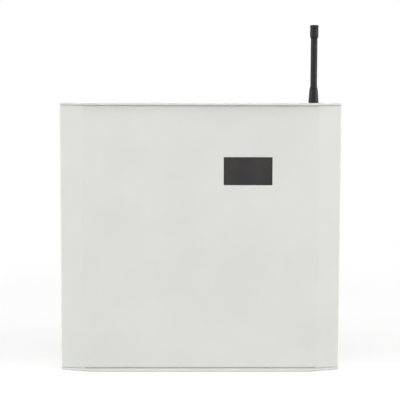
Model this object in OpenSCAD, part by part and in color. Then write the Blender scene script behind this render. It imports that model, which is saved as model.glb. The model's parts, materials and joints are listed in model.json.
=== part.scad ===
// Wall-mounted radio paging transmitter: a folded steel box with a display window and a stub antenna.
// All sizes are in millimetres. X points right, Y points into the wall and Z points up.
// The origin is the middle of the four wall holes, on the plane that lies against the wall.

/* [Enclosure] */
// Width over the two side faces
box_w = 300; // [296:1:330]
// Height over the top and bottom walls
box_h = 288; // [286:1:320]
// Depth from the wall to the front of the rims
box_d = 70; // [68:1:90]
// Thickness of the chassis sheet
base_t = 1.2; // [1:0.1:1.6]
// Thickness of the cover sheet
cover_t = 1.2; // [1:0.1:1.5]
// Inside radius of every fold
fold_r = 1; // [0.6:0.1:1.5]
// How far the rims stand proud of the cover's face
rim_proud = 6.5; // [4:0.5:8]
// Depth of the hem that doubles the sheet along the rims
hem_l = 8; // [6:0.5:10]
// Width of the slanted end of each rim
rim_slant_w = 32; // [26:1:40]
// Width of each slanted border of the cover
bevel_w = 24.5; // [16:0.5:30]
// How far each slanted border falls back
bevel_d = 5; // [3:0.5:8]
// Length of the chassis flanges behind the side faces
flange_l = 15; // [14:0.5:20]
// Length of the lips folded back along the cover's top and bottom edges
lip_l = 9; // [6:0.5:11]

/* [Clearances] */
// Gap between the cover's edges and the rims
seam_gap = 0.15; // [0.1:0.05:0.4]
// Gap between the cover's side faces and the chassis flanges
side_gap = 0.3; // [0.2:0.05:0.6]
// Gap of a screw in the hole or slot that it passes through
hole_gap = 0.25; // [0.1:0.05:0.4]
// Radial gap of a shaft that turns or slides in its bore
run_gap = 0.05; // [0.02:0.01:0.08]
// Gap between parts that move apart
part_gap = 0.3; // [0.2:0.05:0.5]

/* [Wall mounting] */
// Distance between the left and right wall holes
wall_w = 264; // [250:1:268]
// Distance between the upper and lower wall holes
wall_h = 200; // [190:1:210]
// Diameter of the wall holes
wall_hole_d = 5.2; // [4.2:0.1:6]
// Diameter of the keyhole's round end
keyhole_d = 10; // [8.5:0.5:12]
// Width of the keyhole's slot
keyhole_slot = 5; // [4:0.1:6]
// Drop of the keyhole's slot below its round end
keyhole_drop = 9; // [7:0.5:12]
// Distance of the keyhole's slot end below the top wall
keyhole_in = 16; // [14:0.5:22]
// Width of the cable entry
entry_w = 80; // [40:1:90]
// Height of the cable entry
entry_h = 36; // [20:1:44]
// Distance of the cable entry's middle from the left side
entry_left = 75; // [60:1:80]
// Distance of the cable entry's middle below the top wall
entry_down = 44; // [40:1:46]

/* [Cover screws] */
// Distance of the cover screws from the wall face
cover_screw_in = 8; // [7:0.5:9]
// Distance between the upper and lower cover screws
cover_screw_h = 210; // [180:1:230]
// Thread diameter of the cover and bracket screws
m4_d = 4; // [3.5:0.1:4.5]
// Thread diameter of the board screws
m3_d = 3; // [2.5:0.1:3.2]

/* [Display] */
// Height of the window's middle above the enclosure's middle
window_z = 71.8; // [66:0.1:76]
// Width of the window opening
window_w = 52; // [40:0.5:60]
// Height of the window opening
window_h = 30; // [20:0.5:34]
// How far the window pane reaches past the opening
pane_lap = 5; // [3:0.5:7]
// Thickness of the window pane
pane_t = 2; // [1.5:0.1:3]
// Thickness of the adhesive gasket
gasket_t = 0.4; // [0.3:0.1:1]
// Gap between the window pane and the display's frame
display_gap = 0.8; // [0.5:0.1:2]
// Depth of the display's frame
display_t = 5.5; // [4.5:0.1:7]
// Width of the display board
display_board_w = 96; // [92:1:100]
// Height of the display board
display_board_h = 84; // [80:1:88]
// Size of a set-up key's square housing
key_size = 6; // [5:0.1:6.5]
// Travel of a set-up key
key_travel = 0.25; // [0.2:0.05:0.4]
// Diameter of the trimmer's rotor
trimmer_d = 4.4; // [3:0.1:5]

/* [Antenna] */
// Distance of the antenna from the right side
antenna_in = 27.6; // [25:0.1:29]
// Distance of the antenna from the wall face
antenna_out = 33.5; // [30:0.5:36]
// Height of the antenna above the top wall
antenna_h = 83.5; // [60:0.5:180]
// Diameter of the antenna's shaft
shaft_d = 7.3; // [6.4:0.1:7.6]
// Diameter of the boot at its foot
boot_d = 11.1; // [10.4:0.1:12]
// Diameter of the boot where its shoulder begins
boot_top_d = 9.5; // [8.8:0.1:10]
// Height of the boot's cone
boot_h = 12; // [11:0.5:16]
// Height of the shoulder between boot and shaft
shoulder_h = 7.5; // [4:0.5:12]
// Diameter of the collar at the antenna's tip
collar_d = 9.2; // [7.8:0.1:10]
// Height of the collar with its cap
collar_h = 12; // [8:0.5:18]
// Thickness of the end cap
cap_t = 3.7; // [2:0.1:5]
// Outside diameter of the jack's thread
jack_d = 6.35; // [6:0.05:6.5]
// Pitch of the jack's thread
jack_pitch = 0.706; // [0.5:0.002:1]
// Turns of the wound antenna element
coil_turns = 18; // [8:1:20]
// Diameter of the antenna wire
coil_wire = 0.7; // [0.5:0.05:0.8]

/* [Boards] */
// Thickness of every circuit board
pcb_t = 1.6; // [1:0.1:2]
// Length of the pillars under the main and radio boards
pillar_l = 10; // [8:0.5:12]
// Width of a pillar across its flats
pillar_af = 5.5; // [5:0.1:6]
// Distance of pillars and screws from a board's edges
pillar_in = 4; // [4:0.5:5]
// Gap between the main board and the display board
main_gap = 4.5; // [3:0.5:6]
// Gap between the display board and the radio board
radio_gap = 1.5; // [1:0.5:3]
// Height of the main board
main_h = 194; // [190:1:198]
// Distance of the main board from the left side
main_left = 30; // [28:1:32]
// Gap between the main board and the bottom wall
main_foot = 2; // [1:0.5:3]
// Width of the radio board
radio_w = 40; // [38:1:42]
// Height of the radio board
radio_h = 86; // [84:1:92]
// Distance of the radio board from the right side
radio_right = 10; // [8.5:0.5:11]
// Distance of the radio board below the top wall
radio_down = 51.5; // [50:0.5:56]
// Height of the radio shield
shield_t = 8; // [6:0.5:10]
// Wall thickness of the radio shield
shield_wall = 0.6; // [0.4:0.1:1]
// Diameter of the coaxial lead
coax_d = 2.6; // [2:0.1:3]
// Diameter of each battery lead
lead_d = 2; // [1.6:0.1:2.4]

/* [Connectors] */
// Screw terminals in the line terminal block
line_ways = 10; // [4:1:11]
// Distance between neighbouring line terminals
line_pitch = 5.08; // [5:0.02:5.2]
// Distance of the data socket's middle from the main board's left edge
data_in = 28; // [20:1:32]
// Distance of the direct-current inlet's middle from the main board's left edge
inlet_in = 54; // [46:1:60]
// Width of the ribbon cable
ribbon_w = 18; // [10:0.5:20]
// Thickness of the ribbon cable
ribbon_t = 0.9; // [0.6:0.1:1.2]
// Height of a ribbon header above its board
header_h = 9; // [8:0.5:10]
// Diameter of the fuse
fuse_d = 5.2; // [5:0.1:6.3]
// Length of the fuse
fuse_l = 20; // [20:0.5:25]

/* [Battery] */
// Width of the battery
battery_w = 97; // [90:1:99]
// Depth of the battery
battery_d = 43; // [36:1:45]
// Height of the battery
battery_h = 52; // [46:1:56]
// Distance between the main board and the battery
battery_gap = 16; // [15:1:17]
// Thickness of the foam pad behind the battery
pad_t = 1.5; // [1:0.5:3]
// Thickness of the battery bracket
strap_t = 1; // [0.8:0.1:1.5]
// Height of the battery bracket
strap_h = 15; // [12:1:20]
// Length of the bracket's ears
ear_l = 10; // [9.5:0.5:11]

/* [Hidden] */
$fn = 48;
cut = 1;
sink = 0.01;

// Planes of the enclosure
half_w = box_w / 2;
half_h = box_h / 2;
rim_t = 2 * base_t;
rim_y = -box_d;
face_y = rim_y + rim_proud;
face_in_y = face_y + cover_t;
corner_y = face_y + bevel_d;
rim_corner_y = corner_y - seam_gap;
wall_z = half_h - base_t;
seam_z = half_h - rim_t;
cover_z = seam_z - seam_gap;
flange_x = half_w - cover_t - side_gap;
flat_x = half_w - bevel_w;
fold_out = fold_r + base_t;
slant = atan((rim_corner_y - rim_y) / rim_slant_w);
rear_gap = 0.5;
edge_relief = 0.2;
lip_relief = 1;
lip_start = 4;
panel_r = 0.6;
entry_r = 4;

// Screws, heads and nuts
m4_head_d = 2 * m4_d;
m4_head_h = 0.65 * m4_d;
m3_head_d = 1.85 * m3_d;
m3_head_h = 0.65 * m3_d;
board_screw_l = pcb_t + 6;
thread_gap = 0.05;
nut_d = 1.8 * m4_d;
nut_l = m4_d;
nut_spigot_d = m4_d + 1.4;
head_rest = 0.1;

// Window pane, display and the levels of the boards, measured as Y
pane_w = window_w + 2 * pane_lap;
pane_h = window_h + 2 * pane_lap;
pane_r = 2;
glass_w = window_w + 9.8;
glass_h = window_h + 8.8;
glass_gap = 0.1;
glass_step = 0.6;
frame_w = window_w + 18;
frame_h = window_h + 14;
main_y = -base_t - pillar_l - pcb_t;
radio_x = half_w - radio_right - radio_w;
radio_z = wall_z - radio_down - radio_h;
display_board_x = radio_x - radio_gap - display_board_w;
window_x = display_board_x + display_board_w / 2;
main_x = -half_w + main_left;
main_w = display_board_x - main_gap - main_x;
main_z = -wall_z + main_foot;
pane_in_y = face_in_y + gasket_t + pane_t;
display_y = pane_in_y + display_gap + display_t;
display_back_y = display_y + pcb_t;
display_up = 32;
display_board_z = window_z + display_up - display_board_h;

// Antenna, with heights above the top wall
antenna_x = half_w - antenna_in;
antenna_y = -antenna_out;
jack_nut_af = jack_d + 1.6;
jack_nut_h = 2;
jack_top = 8.6;
jack_flange_h = 2.5;
jack_tail_h = 9;
jack_tail_d = 4.2;
thread_depth = 0.25;
chamfer = 0.3;
washer_t = 0.6;
skirt_r = jack_nut_af / cos(30) / 2 + 0.2;
nut_foot = jack_nut_h + part_gap + 0.1;
nut_top = jack_top + 3.7;
nut_r = jack_d / 2 + 0.85;
pin_d = 0.92;
pin_reach = 3.1;
insulator_d = 4.1;
former_r = 1.35;
former_flange = 1;
coil_steps = 8;
coil_end = 2.5;
coil_r = (former_r + coil_wire / 2 + thread_gap) / cos(180 / coil_steps);
bore_r = coil_r + coil_wire / 2 + 0.1;
cap_z = antenna_h - cap_t;
former_foot = nut_top + part_gap;
cap_plug_l = 2;
former_top = cap_z - cap_plug_l;
collar_z = antenna_h + part_gap - collar_h;
collar_slope = 3;
rubber_edge = 0.4;

// Set-up keys
key_pitch = 12;
key_xs = [for (i = [0:3]) (i - 2.5) * key_pitch];
key_z = 12;
key_housing_h = 3.5;
key_floor = 1.2;
key_out = 1.2;
key_rest = 0.1;
key_d = 3.5;
trimmer_x = 28;
trimmer_h = 4.2;
rotor_h = 1.5;
rotor_slot_w = 0.6;

// Ribbon cable and its headers
ribbon_z = display_board_z + 18.2;
header_w = 9;
header_l = ribbon_w + 6;
header_wall = 1.3;
header_floor = 2;
plug_rise = 4;
plug_w = header_w - 2 * header_wall;
plug_l = header_l - 2 * header_wall;
ribbon_level = header_h + plug_rise / 2;
main_header_x = main_x + main_w - 14;
display_header_x = display_board_x + 13.5;
ribbon_fold_x = (main_header_x + display_header_x) / 2 + ribbon_t;
ribbon_r = 2;

// Battery and its bracket
battery_x = main_x + main_w + battery_gap;
battery_z = -wall_z;
battery_back_y = -base_t - pad_t;
battery_front_y = battery_back_y - battery_d;
battery_r = 2;
strap_z = battery_z + 18;
blade_xs = [10, 26];
blade_y = battery_front_y + 9;
blade_h = 6.5;
blade_w = 4.8;
blade_t = 0.8;
receptacle_h = 14;
receptacle_foot = 0.5;
socket_x = main_w - 8;
socket_z = 80;
socket_h = 10;

// Line terminals and sockets on the main board
line_l = line_ways * line_pitch;
line_in = pillar_in + m3_head_d / 2 + 1;
line_d = 12.3;
line_h = 14.5;
line_z = main_h - line_d;
line_step = 3;
screw_well_d = 4.2;
screw_well_l = 5;
wire_hole_w = 3.4;
wire_hole_h = 4;
data_w = 16;
data_l = 21.3;
data_h = 13.4;
data_mouth_w = 11.9;
data_mouth_h = 7.2;
data_mouth_l = 13;
data_floor = 3;
latch_w = 6;
latch_h = 1.6;
inlet_w = 9;
inlet_l = 14;
inlet_h = 11;
inlet_hole_d = 6.3;
inlet_pin_d = 2;
inlet_axis_h = 6.2;
inlet_back = 3;
inlet_pin_in = 0.6;
cutout_gap = 0.4;
socket_sink = 0.3;
fuse_x = 0.68 * main_w;
fuse_z = 18;
fuse_axis_h = 6.5;
clip_w = 5;
clip_t = 0.5;
clip_foot = 2;

// Points of an arc about a centre
function arc(c, r, a, b, n = 6) = [
    for (i = [0:n]) let (t = a + (b - a) * i / n) c + r * [cos(t), sin(t)]
];

function reversed(v) = [for (i = [len(v) - 1:-1:0]) v[i]];

function heading(p, q) = atan2(q.y - p.y, q.x - p.x);

function turn(a, b) = let (t = b - a) t > 180 ? t - 360 : t < -180 ? t + 360 : t;

// One fold of a sheet at corner q, on its right face or, where left is true, on its left face
function fold(p, q, s, t, r, left) =
    let (
        a = heading(p, q),
        k = turn(a, heading(q, s)),
        g = sign(k),
        right_r = g > 0 ? r + t : r,
        c = q - right_r * tan(abs(k) / 2) * [cos(a), sin(a)] + g * right_r * [-sin(a), cos(a)]
    )
    arc(c, left ? right_r - g * t : right_r, a - g * 90, a - g * 90 + k);

// Section of a sheet of thickness t whose right face follows a path, folded with inside radius r
function sheet(path, t, r) =
    let (
        n = len(path),
        a = heading(path[0], path[1]),
        b = heading(path[n - 2], path[n - 1])
    )
    concat(
        [path[0]],
        [for (i = [1:n - 2]) each fold(path[i - 1], path[i], path[i + 1], t, r, false)],
        [path[n - 1], path[n - 1] + t * [-sin(b), cos(b)]],
        [for (i = [n - 2:-1:1]) each reversed(fold(path[i - 1], path[i], path[i + 1], t, r, true))],
        [path[0] + t * [-sin(a), cos(a)]]
    );

// Rectangle about its middle with rounded corners
function round_rect(w, h, r) = concat(
    arc([w / 2 - r, h / 2 - r], r, 0, 90),
    arc([r - w / 2, h / 2 - r], r, 90, 180),
    arc([r - w / 2, r - h / 2], r, 180, 270),
    arc([w / 2 - r, r - h / 2], r, 270, 360)
);

// Smooth curve through points that leaves and ends straight, with a number of steps between each pair
function blend(a, b, c, d, t) =
    0.5 * (2 * b + (c - a) * t + (2 * a - 5 * b + 4 * c - d) * t * t + (3 * b - a - 3 * c + d) * t * t * t);
function smooth(p, steps) =
    let (n = len(p) - 1)
    concat(
        [p[0]],
        [for (i = [1:n - 2], j = [0:steps - 1]) blend(p[i - 1], p[i], p[i + 1], p[i + 2], j / steps)],
        [p[n - 1], p[n]]
    );

function unit(v) = v / norm(v);

function tangent(p, i) = unit(p[min(i + 1, len(p) - 1)] - p[max(i - 1, 0)]);

// Closed skin over rings of equally many points
module skin(rings) {
    n = len(rings);
    m = len(rings[0]);
    sides = [
        for (i = [0:n - 2], j = [0:m - 1])
            let (k = (j + 1) % m, a = i * m + j, b = i * m + k)
            each [[a, a + m, b], [b, a + m, b + m]]
    ];
    first = [for (j = [1:m - 2]) [0, j, j + 1]];
    last = [for (j = [1:m - 2]) (n - 1) * m * [1, 1, 1] + [0, j + 1, j]];
    polyhedron(points = [for (r = rings) each r], faces = concat(sides, first, last));
}

// Round tube along a path, where side_ways points away from the path at every ring
module tube(p, side_ways, d, sides) {
    skin([
        for (i = [0:len(p) - 1])
            let (
                t = tangent(p, i),
                u = unit(side_ways[i] - (side_ways[i] * t) * t),
                v = cross(t, u)
            )
            [for (j = [0:sides - 1])
                let (a = 360 * j / sides)
                p[i] + d / 2 * (cos(a) * u + sin(a) * v)]
    ]);
}

// Box between two opposite corners
module block(a, b) {
    translate([min(a.x, b.x), min(a.y, b.y), min(a.z, b.z)])
        cube([abs(b.x - a.x), abs(b.y - a.y), abs(b.z - a.z)]);
}

// Stands its children on a plane that faces the front: their X stays, their Y runs up, their Z comes forward
module facing_front(x, z, y) {
    translate([x, y, z]) rotate([90, 0, 0]) children();
}

// The same on a plane that faces the wall, where their Y runs down
module facing_wall(x, z, y) {
    translate([x, y, z]) rotate([-90, 0, 0]) children();
}

// Extrudes a section drawn in Y and Z along X, centred
module along_x(l) {
    rotate([90, 0, 90]) translate([0, 0, -l / 2]) linear_extrude(height = l) children();
}

module both_sides() {
    children();
    mirror([1, 0, 0]) children();
}

module both_ends() {
    children();
    mirror([0, 0, 1]) children();
}

module on_main(x, z) {
    facing_front(main_x + x, main_z + z, main_y) children();
}

module on_radio(x, z) {
    facing_front(radio_x + x, radio_z + z, main_y) children();
}

module on_display(x, z) {
    facing_front(display_board_x + x, display_board_z + z, display_y) children();
}

// Corners of a board where pillars stand
function board_corners(w, h) = [
    for (x = [pillar_in, w - pillar_in], z = [pillar_in, h - pillar_in]) [x, z]
];

function display_holes() = board_corners(display_board_w, display_board_h);

function radio_holes() = board_corners(radio_w, radio_h);

function main_holes() = concat(
    board_corners(main_w, main_h),
    [[pillar_in, main_h / 2], [main_w - pillar_in, main_h / 2]]
);

// Pan-head screw with a cross recess, its head standing on z = 0
module screw(d, head_d, head_h, l) {
    recess_w = 0.16 * head_d;
    recess_l = 0.56 * head_d;
    crown = 0.25 * head_h;
    difference() {
        rotate_extrude() polygon(concat(
            [[0, -l], [d / 2 - 0.3, -l], [d / 2, 0.3 - l], [d / 2, 0], [head_d / 2, 0]],
            [[head_d / 2, head_h * 0.4], [head_d / 2 - 0.12 * head_d, head_h - crown]],
            [[head_d * 0.18, head_h], [0, head_h]]
        ));
        for (a = [0, 90]) rotate([0, 0, a])
            translate([-recess_l / 2, -recess_w / 2, 0.45 * head_h]) cube([recess_l, recess_w, head_h]);
    }
}

module m3_screw(l) {
    screw(m3_d - 2 * thread_gap, m3_head_d, m3_head_h, l);
}

module m4_screw(l) {
    screw(m4_d - 2 * thread_gap, m4_head_d, m4_head_h, l);
}

// Hexagonal pillar with a threaded bore from end to end
module pillar(l) {
    difference() {
        cylinder(d = pillar_af / cos(30), h = l, $fn = 6);
        translate([0, 0, -cut]) cylinder(d = m3_d, h = l + 2 * cut);
    }
}

// Circuit board with a hole for each screw
module board(w, h, holes) {
    linear_extrude(height = pcb_t) difference() {
        translate([w / 2, h / 2]) polygon(round_rect(w, h, 1.5));
        for (p = holes) translate(p) circle(d = m3_d + 2 * hole_gap);
    }
}

// Outline of an end wall from its left rear corner round the front to its right one, moved in by a distance
function rim_line(inset) =
    let (
        side_x = half_w - inset,
        side_y = rim_corner_y + inset / cos(slant) - inset * tan(slant),
        front_x = half_w - rim_slant_w - inset * tan(slant / 2),
        front_y = rim_y + inset
    )
    [
        [-side_x, -fold_out], [-side_x, side_y], [-front_x, front_y],
        [front_x, front_y], [side_x, side_y], [side_x, -fold_out]
    ];

// Hem with a rounded nose round the front and the sides of an end wall, mitred at the corners
module hem() {
    nose_r = rim_t / 2;
    section = concat([[hem_l, rim_t]], arc([nose_r, nose_r], nose_r, 90, 270, 8), [[hem_l, 0]]);
    lines = [for (p = section) rim_line(p.x)];
    translate([0, 0, seam_z]) skin([
        for (i = [0:len(lines[0]) - 1])
            [for (j = [0:len(section) - 1]) [lines[j][i].x, lines[j][i].y, section[j].y]]
    ]);
}

// Top wall of the chassis with its hem
module end_wall() {
    translate([0, 0, wall_z]) linear_extrude(height = base_t) polygon(rim_line(hem_l / 2));
    hem();
}

// Folded back of the chassis: the wall plate with its end folds and side flanges
module back_shell() {
    fold_x = flange_x - fold_out;
    side_z = half_h - fold_out;
    along_x(2 * fold_x) polygon(sheet(
        [[-2 * fold_out, -half_h], [0, -half_h], [0, half_h], [-2 * fold_out, half_h]], base_t, fold_r
    ));
    translate([0, 0, -side_z]) linear_extrude(height = 2 * side_z) polygon(sheet(
        [[flange_x, -flange_l], [flange_x, 0], [-flange_x, 0], [-flange_x, -flange_l]], base_t, fold_r
    ));
}

module cover_screw_places() {
    both_sides() for (g = [-1, 1])
        translate([0, -cover_screw_in, g * cover_screw_h / 2]) rotate([0, 90, 0]) children();
}

module keyhole_cut() {
    slot_z = wall_z - keyhole_in;
    facing_front(0, slot_z, cut) cylinder(d = keyhole_slot, h = base_t + 2 * cut);
    facing_front(0, slot_z - keyhole_drop, cut) cylinder(d = keyhole_d, h = base_t + 2 * cut);
    block(
        [-keyhole_slot / 2, cut, slot_z - keyhole_drop],
        [keyhole_slot / 2, -base_t - cut, slot_z]
    );
}

module base_chassis() {
    color([0.87, 0.87, 0.85]) difference() {
        union() {
            back_shell();
            both_ends() end_wall();
        }
        for (gx = [-1, 1], gz = [-1, 1])
            facing_front(gx * wall_w / 2, gz * wall_h / 2, cut)
                cylinder(d = wall_hole_d, h = base_t + 2 * cut);
        keyhole_cut();
        facing_front(entry_left - half_w, half_h - entry_down, cut)
            linear_extrude(height = base_t + 2 * cut) polygon(round_rect(entry_w, entry_h, entry_r));
        cover_screw_places() translate([0, 0, flange_x - base_t - cut])
            cylinder(d = nut_spigot_d, h = base_t + 2 * cut);
        for (x = bracket_hole_xs) facing_front(x, strap_z + strap_h / 2, cut)
            cylinder(d = m4_d, h = base_t + 2 * cut);
        translate([antenna_x, antenna_y, wall_z - cut])
            cylinder(d = jack_d + 2 * hole_gap, h = base_t + 2 * cut);
        block(
            [main_x + data_in - data_w / 2 - cutout_gap, main_y + cutout_gap, -half_h - cut],
            [main_x + data_in + data_w / 2 + cutout_gap, main_y - data_h - cutout_gap, cut - wall_z]
        );
        block(
            [main_x + inlet_in - inlet_w / 2 - cutout_gap, main_y + cutout_gap, -half_h - cut],
            [main_x + inlet_in + inlet_w / 2 + cutout_gap, main_y - inlet_h - cutout_gap, cut - wall_z]
        );
    }
}

// Folded cover, without its window and slots
module cover_shell() {
    lip_x = flat_x - lip_relief;
    difference() {
        translate([0, 0, edge_relief - cover_z])
            linear_extrude(height = 2 * (cover_z - edge_relief))
                polygon(sheet([
                    [-half_w, -rear_gap], [-half_w, corner_y], [-flat_x, face_y],
                    [flat_x, face_y], [half_w, corner_y], [half_w, -rear_gap]
                ], cover_t, fold_r));
        both_ends() block(
            [-lip_x, face_y - cut, cover_z - lip_start],
            [lip_x, face_in_y + cut, cover_z + cut]
        );
    }
    both_ends() along_x(2 * lip_x) polygon(sheet([
        [face_y, lip_start - cover_z], [face_y, -cover_z], [face_y + lip_l, -cover_z]
    ], cover_t, panel_r));
}

module front_cover() {
    slot_r = m4_d / 2 + hole_gap;
    color([0.88, 0.88, 0.86]) difference() {
        cover_shell();
        facing_front(window_x, window_z, face_in_y + cut)
            linear_extrude(height = cover_t + 2 * cut) polygon(round_rect(window_w, window_h, panel_r));
        both_sides() both_ends() {
            translate([half_w - cover_t - cut, -cover_screw_in, cover_screw_h / 2])
                rotate([0, 90, 0]) cylinder(r = slot_r, h = cover_t + 2 * cut);
            block(
                [half_w - cover_t - cut, -cover_screw_in, cover_screw_h / 2 - slot_r],
                [half_w + cut, cut, cover_screw_h / 2 + slot_r]
            );
        }
    }
}

module window_gasket() {
    color([0.12, 0.12, 0.12]) facing_front(window_x, window_z, face_in_y + gasket_t)
        linear_extrude(height = gasket_t) difference() {
            polygon(round_rect(pane_w, pane_h, pane_r));
            polygon(round_rect(window_w + 1, window_h + 1, pane_r / 2));
        }
}

module display_window() {
    color([0.1, 0.1, 0.1, 0.8]) facing_front(window_x, window_z, pane_in_y)
        linear_extrude(height = pane_t)
            polygon(round_rect(pane_w, pane_h, pane_r));
}

module cover_screws() {
    color([0.75, 0.75, 0.77]) cover_screw_places()
        translate([0, 0, half_w + head_rest]) m4_screw(half_w + head_rest - flange_x + base_t + nut_l - 0.6);
}

module cover_nuts() {
    color([0.7, 0.7, 0.68]) cover_screw_places() difference() {
        union() {
            translate([0, 0, flange_x - base_t - nut_l]) cylinder(d = nut_d, h = nut_l);
            translate([0, 0, flange_x - base_t - sink]) cylinder(d = nut_spigot_d, h = base_t - 0.1);
        }
        translate([0, 0, flange_x - base_t - nut_l - cut]) cylinder(d = m4_d, h = nut_l + base_t + 2 * cut);
    }
}

module at_antenna(z = half_h) {
    translate([antenna_x, antenna_y, z]) children();
}

// Boot outline from its foot up to the shaft: a cone, then a soft shoulder
function boot_line() = concat(
    [[boot_d / 2, part_gap], [boot_d / 2 - 0.15, boot_h * 0.2]],
    [for (i = [0:8])
        let (t = i / 8)
        [
            shaft_d / 2 + (boot_top_d - shaft_d) / 2 * (1 + cos(180 * t)) / 2,
            boot_h + shoulder_h * t
        ]]
);

module antenna_sleeve() {
    color([0.16, 0.16, 0.16]) at_antenna() rotate_extrude() polygon(concat(
        boot_line(),
        [[shaft_d / 2, collar_z - collar_slope], [collar_d / 2, collar_z]],
        [[collar_d / 2, cap_z - rubber_edge], [collar_d / 2 - rubber_edge, cap_z]],
        [[bore_r, cap_z], [bore_r, nut_top]],
        [[nut_r, nut_top], [nut_r, nut_foot], [skirt_r, nut_foot], [skirt_r, part_gap]]
    ));
}

module antenna_cap() {
    r = collar_d / 2;
    color([0.13, 0.13, 0.13]) at_antenna() rotate_extrude() polygon(concat(
        [[0, cap_z - cap_plug_l], [bore_r, cap_z - cap_plug_l], [bore_r, cap_z]],
        [[r - rubber_edge, cap_z], [r, cap_z + rubber_edge]],
        arc([r - 2 * rubber_edge, antenna_h - 2 * rubber_edge], 2 * rubber_edge, 0, 90),
        [[0, antenna_h]]
    ));
}

coil_foot = former_foot + coil_end;
coil_top = former_top - coil_end;
coil_path = [
    for (i = [0:coil_turns * coil_steps])
        let (a = 360 * i / coil_steps)
        [
            coil_r * cos(a), coil_r * sin(a),
            coil_foot + (coil_top - coil_foot) * i / (coil_turns * coil_steps)
        ]
];
coil_out = [for (p = coil_path) [p.x, p.y, 0]];
echo(coil_gap = min([
    for (i = [0:len(coil_path) - 1 - coil_steps])
        norm(coil_path[i + coil_steps] - coil_path[i]) - coil_wire
]));

module antenna_coil() {
    color([0.72, 0.45, 0.2]) at_antenna() tube(coil_path, coil_out, coil_wire, 6);
}

module antenna_former() {
    color([0.9, 0.9, 0.88]) at_antenna() rotate_extrude() polygon([
        [0, former_foot], [bore_r, former_foot], [bore_r, former_foot + former_flange],
        [former_r, former_foot + former_flange], [former_r, former_top - former_flange],
        [bore_r, former_top - former_flange], [bore_r, former_top], [0, former_top]
    ]);
}

module antenna_nut() {
    thread_r = jack_d / 2 + run_gap;
    seat_r = insulator_d / 2 + run_gap;
    seat_z = jack_top + part_gap;
    color([0.85, 0.72, 0.4]) at_antenna() rotate_extrude() polygon([
        [thread_r + chamfer, nut_foot], [nut_r, nut_foot], [nut_r, nut_top], [seat_r, nut_top],
        [seat_r, seat_z], [thread_r, seat_z], [thread_r, nut_foot + chamfer]
    ]);
}

module antenna_insulator() {
    color([0.95, 0.95, 0.95]) at_antenna() rotate_extrude() polygon([
        [pin_d / 2, jack_top + part_gap], [insulator_d / 2, jack_top + part_gap],
        [insulator_d / 2, nut_top], [pin_d / 2, nut_top]
    ]);
}

module antenna_pin() {
    color([0.85, 0.7, 0.35]) at_antenna() rotate_extrude() polygon([
        [0, jack_top - pin_reach], [pin_d / 2 - chamfer, jack_top - pin_reach],
        [pin_d / 2, jack_top - pin_reach + chamfer],
        [pin_d / 2, nut_top], [0, nut_top]
    ]);
}

// Threaded jack: ring grooves along the part of the barrel that stands above its nut
function thread_line(r, from, to) = [
    for (i = [0:floor((to - from) / jack_pitch) - 1])
        each [[r, from + i * jack_pitch], [r - thread_depth, from + (i + 0.5) * jack_pitch]]
];

module antenna_jack() {
    r = jack_d / 2;
    seat = -base_t - washer_t;
    foot = seat - jack_flange_h;
    color([0.86, 0.74, 0.45]) at_antenna() {
        difference() {
            union() {
                rotate_extrude() polygon(concat(
                    [[0, foot - jack_tail_h], [jack_tail_d / 2, foot - jack_tail_h]],
                    [[jack_tail_d / 2, foot - 1], [r, foot - 1]],
                    thread_line(r, jack_nut_h + chamfer, jack_top - chamfer),
                    [[r - chamfer, jack_top], [0, jack_top]]
                ));
                translate([0, 0, foot])
                    cylinder(d = jack_nut_af / cos(30), h = jack_flange_h, $fn = 6);
            }
            translate([0, 0, jack_top - pin_reach - part_gap])
                cylinder(d = pin_d + 2 * run_gap, h = pin_reach + part_gap + cut);
        }
    }
}

module jack_washer() {
    color([0.8, 0.8, 0.8]) at_antenna(wall_z - washer_t) difference() {
        cylinder(d = jack_nut_af + 2, h = washer_t);
        translate([0, 0, -cut]) cylinder(d = jack_d + 2 * thread_gap, h = washer_t + 2 * cut);
    }
}

module jack_nut() {
    color([0.86, 0.74, 0.45]) at_antenna() difference() {
        cylinder(d = jack_nut_af / cos(30), h = jack_nut_h, $fn = 6);
        translate([0, 0, -cut]) cylinder(d = jack_d + 2 * thread_gap, h = jack_nut_h + 2 * cut);
    }
}

// The coaxial lead runs from the plug on the radio board up to the jack's tail
coax_plug_x = radio_x + radio_w / 2;
coax_plug_z = radio_z + radio_h - 6;
coax_plug_h = 5;
coax_plug_d = 5;
coax_ferrule_l = 7;
coax_ferrule_d = coax_d + 0.8;
coax_tail = [antenna_x, antenna_y, wall_z - washer_t - jack_flange_h - jack_tail_h];
coax_start = [coax_plug_x, main_y - coax_plug_h / 2, coax_plug_z + coax_ferrule_l];
coax_route = [
    coax_start, coax_start + [0, 0, 6], coax_start + [0, -4, 13],
    coax_tail + [0, 6, -13], coax_tail + [0, 0, -5], coax_tail
];

module coax_lead() {
    p = smooth(coax_route, 3);
    color([0.55, 0.35, 0.2]) tube(p, [for (q = p) [1, 0, 0]], coax_d, 8);
}

module coax_plug() {
    color([0.86, 0.74, 0.45]) {
        facing_front(coax_plug_x, coax_plug_z, main_y) cylinder(d = coax_plug_d, h = coax_plug_h);
        translate([coax_plug_x, main_y - coax_plug_h / 2, coax_plug_z])
            cylinder(d = coax_ferrule_d, h = coax_ferrule_l);
    }
}

module display_board() {
    color([0.1, 0.35, 0.2]) facing_front(display_board_x, display_board_z, display_back_y)
        board(display_board_w, display_board_h, display_holes());
}

module at_window() {
    on_display(display_board_w / 2, display_board_h - display_up) children();
}

module display_frame() {
    color([0.2, 0.2, 0.2]) at_window() difference() {
        linear_extrude(height = display_t)
            polygon(round_rect(frame_w, frame_h, 1));
        translate([0, 0, -cut]) linear_extrude(height = display_t + cut - glass_step)
            polygon(round_rect(glass_w + 2 * glass_gap, glass_h + 2 * glass_gap, 0.5));
        linear_extrude(height = display_t + cut)
            polygon(round_rect(window_w + 2, window_h + 2, 0.5));
    }
}

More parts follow.
